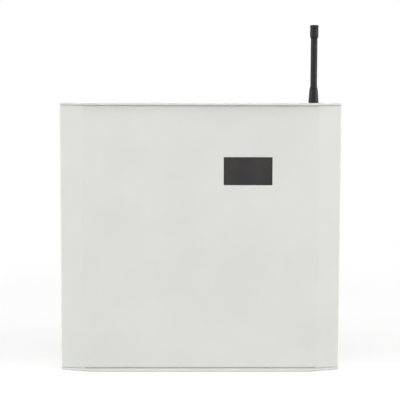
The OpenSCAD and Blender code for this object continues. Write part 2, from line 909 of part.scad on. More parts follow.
module display_glass() {
    color([0.35, 0.4, 0.38]) at_window() linear_extrude(height = display_t - glass_step)
        polygon(round_rect(glass_w, glass_h, 0.3));
}

module display_pillars() {
    color([0.85, 0.8, 0.6]) for (p = display_holes())
        facing_front(display_board_x + p.x, display_board_z + p.y, -base_t)
            pillar(-base_t - display_back_y);
}

module at_keys(i) {
    on_display(display_board_w / 2 + key_xs[i], key_z) children();
}

module key_housings() {
    color([0.15, 0.15, 0.15]) for (i = [0:len(key_xs) - 1]) at_keys(i) difference() {
        linear_extrude(height = key_housing_h) polygon(round_rect(key_size, key_size, 0.4));
        translate([0, 0, key_floor]) cylinder(d = key_d + 2 * run_gap, h = key_housing_h);
    }
}

module key_plunger(i) {
    foot = key_floor + key_travel + key_rest;
    top = key_housing_h + key_out;
    color([0.25, 0.25, 0.25]) at_keys(i) rotate_extrude() polygon([
        [0, foot], [key_d / 2, foot], [key_d / 2, top - chamfer], [key_d / 2 - chamfer, top], [0, top]
    ]);
}

module up_key() {
    key_plunger(0);
}

module down_key() {
    key_plunger(1);
}

module enter_key() {
    key_plunger(2);
}

module back_key() {
    key_plunger(3);
}

module at_trimmer() {
    on_display(display_board_w / 2 + trimmer_x, key_z) children();
}

module contrast_trimmer() {
    color([0.2, 0.35, 0.6]) at_trimmer() difference() {
        linear_extrude(height = trimmer_h) polygon(round_rect(trimmer_d + 2.4, trimmer_d + 2.8, 0.5));
        translate([0, 0, trimmer_h - rotor_h]) cylinder(d = trimmer_d + 2 * run_gap, h = rotor_h + cut);
    }
}

module trimmer_rotor() {
    color([0.92, 0.92, 0.9]) at_trimmer() difference() {
        translate([0, 0, trimmer_h - rotor_h + run_gap]) cylinder(d = trimmer_d, h = rotor_h);
        translate([-rotor_slot_w / 2, -1.5, trimmer_h - rotor_h / 2]) cube([rotor_slot_w, 3, rotor_h]);
        translate([-0.9, -rotor_slot_w / 2, trimmer_h - rotor_h / 2]) cube([1.8, rotor_slot_w, rotor_h]);
    }
}

// Ribbon cable: flat on each plug, folded twice between the boards
module ribbon_cable() {
    main_level = main_y - ribbon_level - ribbon_t / 2;
    display_level = display_back_y + ribbon_level - ribbon_t / 2;
    color([0.6, 0.6, 0.62]) translate([0, 0, ribbon_z - ribbon_w / 2])
        linear_extrude(height = ribbon_w)
            polygon(sheet([
                [main_header_x - plug_w / 2, main_level], [ribbon_fold_x, main_level],
                [ribbon_fold_x, display_level], [display_header_x + plug_w / 2, display_level]
            ], ribbon_t, ribbon_r));
}

module header_pair() {
    facing_front(main_header_x, ribbon_z, main_y) children();
    facing_wall(display_header_x, ribbon_z, display_back_y) children();
}

module ribbon_headers() {
    color([0.12, 0.12, 0.12]) header_pair() difference() {
        translate([-header_w / 2, -header_l / 2, 0]) cube([header_w, header_l, header_h]);
        translate([-plug_w / 2, -plug_l / 2, header_floor]) cube([plug_w, plug_l, header_h]);
    }
}

module ribbon_plugs() {
    color([0.25, 0.25, 0.26]) header_pair() difference() {
        translate([-plug_w / 2, -plug_l / 2, header_floor])
            cube([plug_w, plug_l, header_h + plug_rise - header_floor]);
        translate([-plug_w / 2 - cut, -ribbon_w / 2, ribbon_level - ribbon_t / 2])
            cube([plug_w + 2 * cut, ribbon_w, ribbon_t]);
    }
}

module main_board() {
    color([0.1, 0.35, 0.2]) facing_front(main_x, main_z, main_y + pcb_t)
        board(main_w, main_h, main_holes());
}

module radio_board() {
    color([0.1, 0.35, 0.2]) facing_front(radio_x, radio_z, main_y + pcb_t)
        board(radio_w, radio_h, radio_holes());
}

module board_pillars() {
    color([0.85, 0.8, 0.6]) {
        for (p = main_holes()) facing_front(main_x + p.x, main_z + p.y, -base_t) pillar(pillar_l);
        for (p = radio_holes())
            facing_front(radio_x + p.x, radio_z + p.y, -base_t) pillar(pillar_l);
    }
}

module board_screws() {
    color([0.78, 0.78, 0.8]) {
        for (p = main_holes()) on_main(p.x, p.y) m3_screw(board_screw_l);
        for (p = radio_holes()) on_radio(p.x, p.y) m3_screw(board_screw_l);
        for (p = display_holes()) on_display(p.x, p.y) m3_screw(board_screw_l);
    }
}

processor_w = 14;
processor_z = 0.54 * main_h;
chip_w = 6;
chip_t = 1.6;
chip_pitch = 1.27;
capacitor_d = 10;
capacitor_h = 16;
capacitor_z = 46;

// Flat chip with a row of legs along two or four of its sides
module chip(w, l, t, legs, pitch, sides) {
    translate([-w / 2, -l / 2, 0.2]) cube([w, l, t]);
    for (s = [0:sides - 1]) rotate([0, 0, s * 360 / sides])
        for (i = [0:legs - 1])
            translate([w / 2 - 0.5, (i - (legs - 1) / 2) * pitch - pitch / 5, 0])
                cube([1.5, pitch * 0.4, 0.6]);
}

module logic_chips() {
    color([0.14, 0.14, 0.14]) {
        on_main(0.44 * main_w, processor_z) chip(processor_w, processor_w, chip_t, 8, 1.5, 4);
        for (z = [processor_z, processor_z - 30])
            on_main(0.2 * main_w, z) chip(chip_w, 2 * chip_w, chip_t, 8, chip_pitch, 2);
        on_main(0.68 * main_w, processor_z + 32) chip(chip_w + 1.5, 2 * chip_w - 1, chip_t, 7, chip_pitch, 2);
        on_main(0.24 * main_w, capacitor_z) chip(chip_w - 2, chip_w - 0.6, chip_t, 4, chip_pitch, 2);
    }
}

module capacitor(d, h) {
    rotate_extrude() polygon([
        [0, 0], [d / 2 - 0.3, 0], [d / 2, 0.3], [d / 2, 1.6], [d / 2 - 0.3, 2], [d / 2 - 0.3, 2.4],
        [d / 2, 2.8], [d / 2, h - 0.4], [d / 2 - 0.4, h], [0, h]
    ]);
}

module small_capacitor() {
    capacitor(0.63 * capacitor_d, 0.7 * capacitor_h);
}

module board_capacitors() {
    color([0.15, 0.2, 0.35]) {
        for (i = [0:1]) {
            on_main(0.54 * main_w, capacitor_z + 1.4 * i * capacitor_d) capacitor(capacitor_d, capacitor_h);
            on_main(0.39 * main_w, capacitor_z + i * capacitor_d) small_capacitor();
        }
        on_main(0.83 * main_w, processor_z + 8) small_capacitor();
    }
}

regulator_x = 0.78 * main_w;
regulator_z = capacitor_z;
regulator_w = 10;
regulator_t = 4.4;
leg_l = 4;
tab_z = 13;
sink_w = 20;
sink_h = 20;
sink_t = 2;
sink_d = 9;
fin_t = 1.2;

// Row of equal fins from x = 0 to x = w
module fins(n, w, d, h) {
    for (i = [0:n - 1]) translate([i * (w - fin_t) / (n - 1), 0, 0]) cube([fin_t, d, h]);
}

// Regulator standing on the board with its tab against the heat sink
module regulator() {
    color([0.2, 0.2, 0.2]) on_main(regulator_x, regulator_z) {
        translate([-regulator_w / 2, 0, leg_l]) cube([regulator_w, regulator_t, tab_z - leg_l]);
        translate([-regulator_w / 2, 0, tab_z]) cube([regulator_w, 1.3, 6]);
        for (x = [-2.54, 0, 2.54]) translate([x - 0.4, 1.6, 0]) cube([0.8, 0.6, leg_l]);
    }
}

module regulator_heat_sink() {
    color([0.1, 0.1, 0.1]) on_main(regulator_x - sink_w / 2, regulator_z) {
        translate([0, -sink_t, 0]) cube([sink_w, sink_t, sink_h]);
        translate([0, -sink_d, 0]) fins(6, sink_w, sink_d - sink_t + sink, sink_h);
    }
}

module line_terminals() {
    color([0.2, 0.5, 0.25]) on_main(line_in, line_z) difference() {
        union() {
            cube([line_l, line_d, line_h - line_step]);
            translate([0, line_step / 2, 0]) cube([line_l, line_d - line_step, line_h]);
        }
        for (i = [0:line_ways - 1]) translate([(i + 0.5) * line_pitch, line_d / 2, 0]) {
            translate([0, 0, line_h - screw_well_l]) cylinder(d = screw_well_d, h = screw_well_l + cut);
            translate([-wire_hole_w / 2, 0, line_step]) cube([wire_hole_w, line_d, wire_hole_h]);
        }
    }
}

module terminal_screws() {
    color([0.8, 0.8, 0.8]) on_main(line_in, line_z)
        for (i = [0:line_ways - 1])
            translate([(i + 0.5) * line_pitch, line_d / 2, line_h - screw_well_l]) difference() {
                cylinder(d = screw_well_d - 4 * thread_gap, h = 2);
                translate([-screw_well_d, -0.35, 1.2]) cube([2 * screw_well_d, 0.7, 2]);
            }
}

socket_foot = socket_sink - base_t - main_foot;

module data_socket() {
    color([0.15, 0.15, 0.16]) on_main(data_in, socket_foot) difference() {
        translate([-data_w / 2, 0, 0]) cube([data_w, data_l, data_h]);
        translate([-data_mouth_w / 2, -cut, data_floor])
            cube([data_mouth_w, data_mouth_l + cut, data_mouth_h]);
        translate([-latch_w / 2, -cut, data_floor + data_mouth_h - sink]) cube([latch_w, 8, latch_h]);
    }
}

module power_inlet() {
    color([0.13, 0.13, 0.13]) on_main(inlet_in, socket_foot) {
        difference() {
            translate([-inlet_w / 2, 0, 0]) cube([inlet_w, inlet_l, inlet_h]);
            translate([0, -cut, inlet_axis_h]) rotate([-90, 0, 0])
                cylinder(d = inlet_hole_d, h = inlet_l - inlet_back);
        }
        translate([0, inlet_pin_in, inlet_axis_h]) rotate([-90, 0, 0])
            cylinder(d = inlet_pin_d, h = inlet_l - inlet_back);
    }
}

module at_fuse() {
    on_main(fuse_x, fuse_z) translate([0, 0, fuse_axis_h]) rotate([0, 90, 0]) children();
}

module fuse() {
    cap_l = 5.5;
    color([0.8, 0.85, 0.85]) at_fuse() translate([0, 0, -fuse_l / 2]) {
        cylinder(d = fuse_d, h = cap_l);
        cylinder(d = fuse_d - 0.4, h = fuse_l);
        translate([0, 0, fuse_l - cap_l]) cylinder(d = fuse_d, h = cap_l);
    }
}

// Each clip is a spring cradle on a short foot
module fuse_clips() {
    color([0.8, 0.78, 0.7]) for (g = [-1, 1])
        on_main(fuse_x + g * (fuse_l / 2 - 2.8), fuse_z) {
            difference() {
                translate([-clip_w / 2, -fuse_d / 2 - clip_t, clip_foot])
                    cube([clip_w, fuse_d + 2 * clip_t, fuse_axis_h]);
                translate([-clip_w, 0, fuse_axis_h]) rotate([0, 90, 0])
                    cylinder(d = fuse_d, h = 2 * clip_w);
                translate([-clip_w, clip_t / 2 - fuse_d / 2, fuse_axis_h])
                    cube([2 * clip_w, fuse_d - clip_t, fuse_d]);
            }
            translate([1 - clip_w / 2, -1, 0]) cube([clip_w - 2, 2, clip_foot + sink]);
        }
}

lamps_down = 34;

module status_lamps() {
    color([0.3, 0.7, 0.3]) for (i = [0:2]) on_main(0.64 * main_w + 9 * i, main_h - lamps_down)
        rotate_extrude() polygon(concat(
            [[0, 0], [1.9, 0], [1.9, 1], [1.5, 1]],
            arc([0, 3.6], 1.5, 0, 90)
        ));
}

module battery_socket() {
    color([0.9, 0.88, 0.8]) on_main(socket_x, socket_z)
        translate([-3, -5, 0]) cube([6, 10, socket_h]);
}

shield_in = 2;
shield_up = 8;

module radio_shield() {
    shield_w = radio_w - 2 * shield_in;
    shield_l = radio_h - 20;
    color([0.75, 0.75, 0.76]) on_radio(shield_in, shield_up) difference() {
        cube([shield_w, shield_l, shield_t]);
        translate([shield_wall, shield_wall, -cut])
            cube([shield_w - 2 * shield_wall, shield_l - 2 * shield_wall, shield_t + cut - shield_wall]);
    }
}

module radio_heat_sink() {
    w = radio_w - 2 * shield_in - 2;
    l = 50;
    t = 3;
    color([0.1, 0.1, 0.1]) on_radio(shield_in + 1, shield_up + 8) translate([0, 0, shield_t]) {
        cube([w, l, t]);
        translate([0, 0, t - sink]) fins(9, w, l, 10);
    }
}

module battery() {
    groove = 0.4;
    lid_h = 6.2;
    case_h = battery_h - lid_h - 2 * groove;
    color([0.25, 0.25, 0.27])
        translate([battery_x + battery_w / 2, battery_back_y - battery_d / 2, battery_z]) {
            linear_extrude(height = case_h) polygon(round_rect(battery_w, battery_d, battery_r));
            translate([0, 0, case_h]) linear_extrude(height = 2 * groove)
                polygon(round_rect(battery_w - 2 * groove, battery_d - 2 * groove, battery_r - groove));
            translate([0, 0, battery_h - lid_h]) linear_extrude(height = lid_h)
                polygon(round_rect(battery_w, battery_d, battery_r));
        }
}

module at_blades() {
    for (x = blade_xs) translate([battery_x + x, blade_y, battery_z + battery_h]) children();
}

module battery_terminals() {
    color([0.8, 0.65, 0.35]) at_blades()
        translate([-blade_t / 2, -blade_w / 2, 0]) cube([blade_t, blade_w, blade_h]);
}

// Insulated push-on receptacles over the blades
module lead_receptacles() {
    color([0.7, 0.15, 0.12]) at_blades() translate([0, 0, receptacle_foot]) difference() {
        linear_extrude(height = receptacle_h) polygon(round_rect(blade_t + 2.4, blade_w + 1.6, 1.2));
        translate([-blade_t / 2, -blade_w / 2, -cut])
            cube([blade_t, blade_w, blade_h - receptacle_foot + cut]);
    }
}

module battery_pad() {
    inset = 3;
    color([0.2, 0.2, 0.2]) block(
        [battery_x + inset, -base_t, battery_z + inset],
        [battery_x + battery_w - inset, battery_back_y, battery_z + battery_h - inset]
    );
}

bracket_hole_xs = [
    battery_x - strap_t - ear_l / 2,
    battery_x + battery_w + strap_t + ear_l / 2
];

module battery_bracket() {
    ear_y = -base_t - strap_t;
    front_y = battery_front_y - strap_t;
    left_x = battery_x - strap_t;
    right_x = battery_x + battery_w + strap_t;
    color([0.8, 0.8, 0.82]) difference() {
        translate([0, 0, strap_z]) linear_extrude(height = strap_h) polygon(sheet([
            [left_x - ear_l, ear_y], [left_x, ear_y], [left_x, front_y],
            [right_x, front_y], [right_x, ear_y], [right_x + ear_l, ear_y]
        ], strap_t, 0.8));
        for (x = bracket_hole_xs) facing_front(x, strap_z + strap_h / 2, 0)
            cylinder(d = m4_d + 2 * hole_gap, h = base_t + strap_t + cut);
    }
}

module bracket_screws() {
    color([0.78, 0.78, 0.8]) for (x = bracket_hole_xs)
        facing_front(x, strap_z + strap_h / 2, -base_t - strap_t) m4_screw(base_t + strap_t - 0.2);
}

// Battery leads: from each receptacle in a short arch to the socket on the main board
lead_top_z = battery_z + battery_h + receptacle_foot + receptacle_h;
socket_top = [main_x + socket_x, main_y - socket_h, main_z + socket_z];

function lead_route(i) =
    let (
        a = [battery_x + blade_xs[i], blade_y, lead_top_z],
        b = socket_top + [0, 0, 5 * i - 2.5],
        rise = 5 + 5 * i
    )
    [
        a, a + [0, 0, 5], a + [-4, 0, 5 + rise],
        [(a.x + b.x) / 2, (a.y + b.y) / 2 - 4, lead_top_z + 8 + rise],
        b + [4, -10, (lead_top_z + 8 + rise - b.z) / 2], b + [0, -5, 0], b
    ];

module battery_lead(i) {
    p = smooth(lead_route(i), 3);
    tube(p, [for (q = p) [0.3, 1, 0.2]], lead_d, 8);
}

module battery_lead_red() {
    color([0.7, 0.1, 0.1]) battery_lead(0);
}

module battery_lead_black() {
    color([0.1, 0.1, 0.1]) battery_lead(1);
}

base_chassis();
front_cover();
display_window();
window_gasket();
cover_screws();
cover_nuts();
antenna_sleeve();
antenna_cap();
antenna_coil();
antenna_former();
antenna_nut();
antenna_pin();
antenna_insulator();
antenna_jack();
jack_washer();
jack_nut();
coax_lead();
coax_plug();
display_board();
display_frame();
display_glass();
display_pillars();
key_housings();
up_key();
down_key();
enter_key();
back_key();
contrast_trimmer();
trimmer_rotor();
ribbon_cable();
ribbon_plugs();
ribbon_headers();
main_board();
board_pillars();
board_screws();
logic_chips();
board_capacitors();
regulator();
regulator_heat_sink();
line_terminals();
terminal_screws();
data_socket();
power_inlet();
fuse();
fuse_clips();
status_lamps();
battery_socket();
radio_board();
radio_shield();
radio_heat_sink();
battery();
battery_terminals();
battery_pad();
battery_bracket();
bracket_screws();
battery_lead_red();
battery_lead_black();
lead_receptacles();
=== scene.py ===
"""Looks of a wall-mounted paging transmitter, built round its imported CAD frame.

Everything is in metres in the frame of the CAD: X right, Y into the wall, Z up.
What is drawn on a board or turned about an axis is given in millimetres.
"""

import math

import bmesh
import bpy
from mathutils import Matrix, Vector
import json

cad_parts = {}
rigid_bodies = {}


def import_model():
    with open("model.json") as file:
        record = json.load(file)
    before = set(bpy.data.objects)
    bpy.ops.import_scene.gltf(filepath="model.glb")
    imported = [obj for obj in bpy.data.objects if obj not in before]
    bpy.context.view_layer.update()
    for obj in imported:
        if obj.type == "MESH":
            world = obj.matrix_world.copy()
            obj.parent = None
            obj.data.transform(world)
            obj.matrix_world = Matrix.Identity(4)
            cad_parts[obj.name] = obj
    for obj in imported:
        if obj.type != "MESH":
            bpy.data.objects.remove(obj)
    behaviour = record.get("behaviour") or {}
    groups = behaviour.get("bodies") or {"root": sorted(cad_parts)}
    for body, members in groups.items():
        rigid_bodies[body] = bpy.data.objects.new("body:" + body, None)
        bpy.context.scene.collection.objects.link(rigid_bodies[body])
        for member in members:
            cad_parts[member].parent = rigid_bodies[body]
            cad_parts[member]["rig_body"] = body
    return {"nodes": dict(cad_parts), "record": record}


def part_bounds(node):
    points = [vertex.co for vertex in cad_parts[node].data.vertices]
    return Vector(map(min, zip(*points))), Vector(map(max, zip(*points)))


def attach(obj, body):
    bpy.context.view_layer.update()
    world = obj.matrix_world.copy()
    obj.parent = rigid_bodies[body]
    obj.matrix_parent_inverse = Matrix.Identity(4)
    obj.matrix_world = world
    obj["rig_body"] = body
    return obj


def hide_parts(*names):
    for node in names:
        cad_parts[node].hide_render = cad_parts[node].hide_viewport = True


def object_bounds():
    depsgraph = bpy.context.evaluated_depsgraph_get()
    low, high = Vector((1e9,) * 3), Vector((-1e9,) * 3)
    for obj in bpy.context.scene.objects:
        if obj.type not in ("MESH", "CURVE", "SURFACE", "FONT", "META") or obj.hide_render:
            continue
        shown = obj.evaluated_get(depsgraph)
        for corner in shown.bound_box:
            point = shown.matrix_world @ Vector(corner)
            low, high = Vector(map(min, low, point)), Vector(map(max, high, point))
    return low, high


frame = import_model()
cad_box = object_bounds()
NODES = frame["nodes"]
BOX = {name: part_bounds(name) for name in NODES}
MM = 0.001


def middle(name):
    """Centre of a CAD node's box."""
    low, high = BOX[name]
    return (low + high) / 2


# Camera

def place_camera():
    """Camera of the photograph: its picture is measured in pixels, its turns in degrees."""
    picture_width, focal_length, sensor = 400, 1171, 36
    place = (-0.0147, -1.3055, 0.1619)
    yaw, pitch, roll = (math.radians(a) for a in (-0.65, 5.56, 0.149))
    right = Vector((math.cos(yaw), math.sin(yaw), 0))
    level = Vector((-math.sin(yaw), math.cos(yaw), 0))
    down = Vector((0, 0, -1))
    forward = math.cos(pitch) * level + math.sin(pitch) * down
    up = math.sin(pitch) * level - math.cos(pitch) * down
    rolled_right = math.cos(roll) * right + math.sin(roll) * up
    rolled_up = math.cos(roll) * up - math.sin(roll) * right
    data = bpy.data.cameras.new("camera")
    data.sensor_width = sensor
    data.lens = sensor * focal_length / picture_width
    data.clip_start, data.clip_end = 0.05, 50
    camera = bpy.data.objects.new("camera", data)
    turn = Matrix((rolled_right, rolled_up, -forward)).transposed()
    camera.matrix_world = Matrix.Translation(place) @ turn.to_4x4()
    bpy.context.scene.collection.objects.link(camera)
    bpy.context.scene.camera = camera


# Materials

class Nodes:
    """A node tree and short calls that add nodes to it."""

    def __init__(self, tree):
        self.tree = tree

    def put(self, socket, value):
        if isinstance(value, bpy.types.NodeSocket):
            self.tree.links.new(value, socket)
        else:
            socket.default_value = value

    def node(self, kind, *values, **named):
        """New node: values fill its sockets in their order, named ones by name."""
        n = self.tree.nodes.new(kind)
        for socket, value in zip(n.inputs, values):
            self.put(socket, value)
        for name, value in named.items():
            self.put(n.inputs[name.replace("_", " ")], value)
        return n

    def maths(self, operation, a, b=0.0):
        n = self.node("ShaderNodeMath", a, b)
        n.operation = operation
        return n.outputs[0]

    def seen_directly(self):
        """1 for camera, glossy and transmission rays."""
        ray = self.node("ShaderNodeLightPath").outputs
        seen = self.maths("MAXIMUM", ray["Is Camera Ray"], ray["Is Glossy Ray"])
        return self.maths("MAXIMUM", seen, ray["Is Transmission Ray"])


class Shader(Nodes):
    """A Principled material and the patterns that vary it."""

    def __init__(self, name, **constants):
        self.material = bpy.data.materials.new(name)
        self.material.use_nodes = True
        super().__init__(self.material.node_tree)
        self.bsdf = self.tree.nodes["Principled BSDF"]
        for socket, value in constants.items():
            self.bsdf.inputs[socket.replace("_", " ")].default_value = value
        self.coords = self.node("ShaderNodeTexCoord").outputs["Object"]

    def stretched(self, x, y, z):
        return self.node("ShaderNodeMapping", Vector=self.coords, Scale=(x, y, z)).outputs["Vector"]

    def noise(self, scale, detail, coords=None, rough=0.5):
        n = self.node("ShaderNodeTexNoise", Vector=coords or self.coords, Scale=scale, Detail=detail,
                      Roughness=rough)
        return n.outputs["Fac"]

    def between(self, value, low, high, out_low=0.0, out_high=1.0):
        n = self.node("ShaderNodeMapRange", value, low, high, out_low, out_high)
        return n.outputs["Result"]

    def mix(self, share, a, b):
        n = self.tree.nodes.new("ShaderNodeMix")
        n.data_type = "RGBA"
        for place, value in ((0, share), (6, a), (7, b)):
            self.put(n.inputs[place], rgb(value) if isinstance(value, tuple) else value)
        return n.outputs[2]

    def edge(self, radius):
        """1 along outer edges, fading over the radius."""
        soft = self.node("ShaderNodeBevel", Radius=radius)
        soft.samples = 4
        flat = self.node("ShaderNodeNewGeometry").outputs["Normal"]
        likeness = self.node("ShaderNodeVectorMath", soft.outputs["Normal"], flat)
        likeness.operation = "DOT_PRODUCT"
        return self.between(likeness.outputs["Value"], 0.985, 0.80)

    def bump(self, *heights):
        """Each height is (value, depth in metres)."""
        last = None
        for value, depth in heights:
            bump = self.node("ShaderNodeBump", Height=value, Distance=depth, Strength=1.0)
            if last is not None:
                self.put(bump.inputs["Normal"], last)
            last = bump.outputs["Normal"]
        self.put(self.bsdf.inputs["Normal"], last)

    def finish(self, color, rough):
        self.put(self.bsdf.inputs["Base Color"], color)
        self.put(self.bsdf.inputs["Roughness"], rough)
        return self.material


def linear(v):
    v = v / 255
    return v / 12.92 if v <= 0.04045 else ((v + 0.055) / 1.055) ** 2.4


def rgb(tone):
    """Colour on the shader's scale from red, green and blue as a screen shows them, 0 to 255."""
    return (*(linear(v) for v in tone), 1.0)


def lighter(tone, step):
    """The same tone by a step lighter, or darker where the step is negative."""
    return tuple(max(0, min(255, v + step)) for v in tone)


def powder_coat(name, tone):
    """Fine-textured powder coat: orange peel, faint mottling and a little rubbing along the edges."""
    s = Shader(name, IOR=1.5)
    cloud = s.between(s.noise(14, 3), 0.35, 0.65)
    color = s.mix(cloud, lighter(tone, -2), lighter(tone, 2))
    speck = s.between(s.noise(1900, 2), 0.58, 0.72, 0, 0.35)
    color = s.mix(speck, color, lighter(tone, -12))
    worn = s.maths("MULTIPLY", s.edge(0.0007), s.between(s.noise(90, 4), 0.46, 0.62, 0.05, 0.5))
    color = s.mix(worn, color, lighter(tone, -16))
    dust = s.between(s.noise(5, 5, rough=0.6), 0.3, 0.7, 0.44, 0.56)
    s.bump((s.noise(800, 2), 0.00005), (s.noise(2600, 2), 0.00002))
    return s.finish(color, dust)


def metal(name, tone, other, rough=(0.2, 0.36), grain=(60, 60, 1500)):
    """Plated or turned metal: tint patches, fine drawn grain and a painted highlight along the edges."""
    s = Shader(name, Metallic=1.0, IOR=1.5)
    color = s.mix(s.between(s.noise(120, 4), 0.35, 0.7), tone, other)
    # Painted highlight: the colour is lighter along every edge, as if rounded edges caught the light.
    color = s.mix(s.maths("MULTIPLY", s.edge(0.0003), 0.6), color, lighter(tone, 14))
    drawn = s.noise(1, 3, s.stretched(*grain))
    blotch = s.noise(300, 4)
    level = s.maths("ADD", s.between(drawn, 0.3, 0.7, *rough), s.between(blotch, 0.4, 0.7, 0, 0.12))
    s.bump((drawn, 0.00001), (blotch, 0.00001))
    return s.finish(color, level)


def plastic(name, tone, spread=6, rough=(0.38, 0.5), grain=3200):
    """Moulded plastic: spark-eroded grain, slow colour drift and a painted highlight along the edges."""
    s = Shader(name)
    color = s.mix(s.between(s.noise(70, 4), 0.35, 0.65), lighter(tone, -spread), lighter(tone, spread))
    # Painted highlight: the colour is lighter along the edges, in patches.
    painted_edge_highlight = s.maths("MULTIPLY", s.edge(0.0003), s.between(s.noise(400, 3), 0.4, 0.6, 0.1, 0.6))
    color = s.mix(painted_edge_highlight, color, lighter(tone, 3 * spread))
    s.bump((s.noise(grain, 2), 0.00002), (s.noise(grain / 5, 3), 0.00002))
    return s.finish(color, s.between(s.noise(160, 4), 0.3, 0.7, *rough))


def rubber(name, tone):
    """Black rubber with a dull bloom in patches."""
    s = Shader(name, IOR=1.34)
    color = s.mix(s.between(s.noise(220, 5), 0.4, 0.7), tone, lighter(tone, 6))
    bloom = s.between(s.noise(40, 6, rough=0.65), 0.52, 0.72, 0, 0.12)
    color = s.mix(bloom, color, lighter(tone, 16))
    s.bump((s.noise(2400, 3), 0.00003), (s.noise(500, 3), 0.00003))
    return s.finish(color, s.between(s.noise(500, 4), 0.3, 0.7, 0.36, 0.48))


def foam(name, tone):
    """Closed-cell foam: open pores in its cut faces."""
    s = Shader(name, IOR=1.3)
    cells = s.node("ShaderNodeTexVoronoi", Vector=s.coords, Scale=2200).outputs["Distance"]
    pores = s.between(cells, 0.1, 0.5)
    color = s.mix(pores, lighter(tone, -10), lighter(tone, 12))
    s.bump((pores, 0.0001), (s.noise(300, 3), 0.0001))
    return s.finish(color, s.between(pores, 0, 1, 0.95, 0.8))


def solder_mask(name, low, high):
    """Circuit board: green mask with woven glass showing through, bare laminate along the edges."""
    s = Shader(name, IOR=1.5, Coat_Weight=0.25, Coat_Roughness=0.15)
    color = s.mix(s.between(s.noise(45, 4), 0.4, 0.62), low, high)
    weave = s.node("ShaderNodeTexChecker", Vector=s.coords, Scale=1600).outputs["Fac"]
    color = s.mix(s.maths("MULTIPLY", weave, 0.10), color, (40, 120, 80))
    normal = s.node("ShaderNodeTexCoord").outputs["Normal"]
    facing = s.node("ShaderNodeSeparateXYZ", Vector=normal).outputs["Y"]
    side = s.between(s.maths("ABSOLUTE", facing), 0.6, 0.5)
    laminate = s.mix(s.noise(900, 3, s.stretched(1, 6, 1)), (150, 138, 84), (182, 172, 118))
    s.bump((s.noise(900, 2), 0.00002), (weave, 0.000004))
    return s.finish(s.mix(side, color, laminate), s.between(s.noise(380, 3), 0.3, 0.7, 0.24, 0.38))


def smoked_acrylic(name):
    """Dark polished pane with slow drifts in its tint."""
    s = Shader(name, IOR=1.49)
    color = s.mix(s.between(s.noise(44, 1), 0.36, 0.64), (43, 37, 31), (28, 29, 33))
    s.bump((s.noise(30, 2), 0.00002))
    return s.finish(color, s.between(s.noise(60, 5, rough=0.7), 0.3, 0.75, 0.03, 0.11))


def display_face(name):
    """Unlit display: grey-green polariser with a faint column grain."""
    s = Shader(name, IOR=1.5, Coat_Weight=0.6, Coat_Roughness=0.05)
    color = s.mix(s.between(s.noise(35, 3), 0.3, 0.7), (92, 104, 82), (104, 114, 92))
    lines = s.noise(1, 0, s.stretched(2200, 1, 2200))
    color = s.mix(s.between(lines, 0.45, 0.6, 0, 0.2), color, (70, 80, 66))
    s.bump((s.noise(60, 2), 0.00001))
    return s.finish(color, s.between(s.noise(200, 4), 0.3, 0.7, 0.08, 0.16))


def clear_glass(name, tone):
    """Clear glass with faint waves and smears."""
    s = Shader(name, IOR=1.5, Transmission_Weight=1.0)
    color = s.mix(s.noise(240, 3), tone, lighter(tone, 12))
    s.bump((s.noise(260, 2), 0.00001))
    return s.finish(color, s.between(s.noise(500, 4), 0.3, 0.8, 0.01, 0.06))


def lens(name, tone):
    """Tinted lens of a lamp."""
    s = Shader(name, IOR=1.5, Transmission_Weight=0.35)
    color = s.mix(s.noise(400, 3), tone, lighter(tone, 30))
    s.bump((s.noise(900, 2), 0.00001))
    return s.finish(color, s.between(s.noise(600, 3), 0.3, 0.7, 0.1, 0.22))


def make_materials():
    """The material of each slot, and of the tracks under the solder mask."""
    return {
        "case_paint": powder_coat("powder_coat", (224, 225, 220)),
        "smoked_pane": smoked_acrylic("smoked_acrylic"),
        "black_foam": foam("closed_cell_foam", (34, 34, 35)),
        "zinc_steel": metal("zinc_plate", (196, 199, 203), (178, 180, 176)),
        "black_rubber": rubber("black_rubber", (8, 8, 9)),
        "copper_wire": metal("copper", (214, 132, 92), (190, 104, 70)),
        "white_plastic": plastic("white_plastic", (228, 225, 214), 4),
        "gold_brass": metal("gold_plate", (226, 186, 104), (206, 162, 84), (0.16, 0.3)),
        "nickel": metal("nickel_plate", (198, 194, 184), (184, 180, 172), (0.14, 0.28)),
        "brown_cable": plastic("brown_jacket", (112, 62, 34), 5, (0.32, 0.42), 1500),
        "green_board": solder_mask("solder_mask", (12, 84, 48), (18, 96, 56)),
        "black_plastic": plastic("black_plastic", (38, 38, 40), 4),
        "display_glass": display_face("display_face"),
        "brass_pillar": metal("turned_brass", (214, 182, 112), (196, 162, 94), (0.18, 0.32),
                              (1500, 60, 1500)),
        "blue_plastic": plastic("blue_plastic", (44, 84, 152)),
        "grey_ribbon": plastic("grey_ribbon", (142, 144, 148), 5, (0.4, 0.5), 1800),
        "capacitor_sleeve": plastic("shrink_sleeve", (30, 38, 62), 4, (0.2, 0.3), 900),
        "black_aluminium": metal("black_anodised", (58, 58, 60), (46, 46, 48), (0.36, 0.5)),
        "green_plastic": plastic("green_plastic", (46, 128, 66)),
        "fuse_glass": clear_glass("fuse_glass", (225, 235, 232)),
        "lamp_green": lens("green_lens", (60, 150, 70)),
        "tin_plate": metal("tin_plate", (192, 192, 188), (172, 172, 168), (0.24, 0.42)),
        "battery_case": plastic("battery_case", (54, 55, 58), 5, (0.42, 0.55), 2400),
        "red_insulation": plastic("red_insulation", (168, 30, 26), 8, (0.3, 0.4), 1200),
        "black_insulation": plastic("black_insulation", (30, 30, 31), 4, (0.3, 0.4), 1200),
        "track": solder_mask("masked_track", (44, 138, 78), (50, 148, 84)),
    }


# Meshes and their shading

SAME_POINT = 1e-6
SAME_PLANE, BEVELLED_EDGE, SHARP_EDGE = (math.radians(a) for a in (0.5, 32, 38))


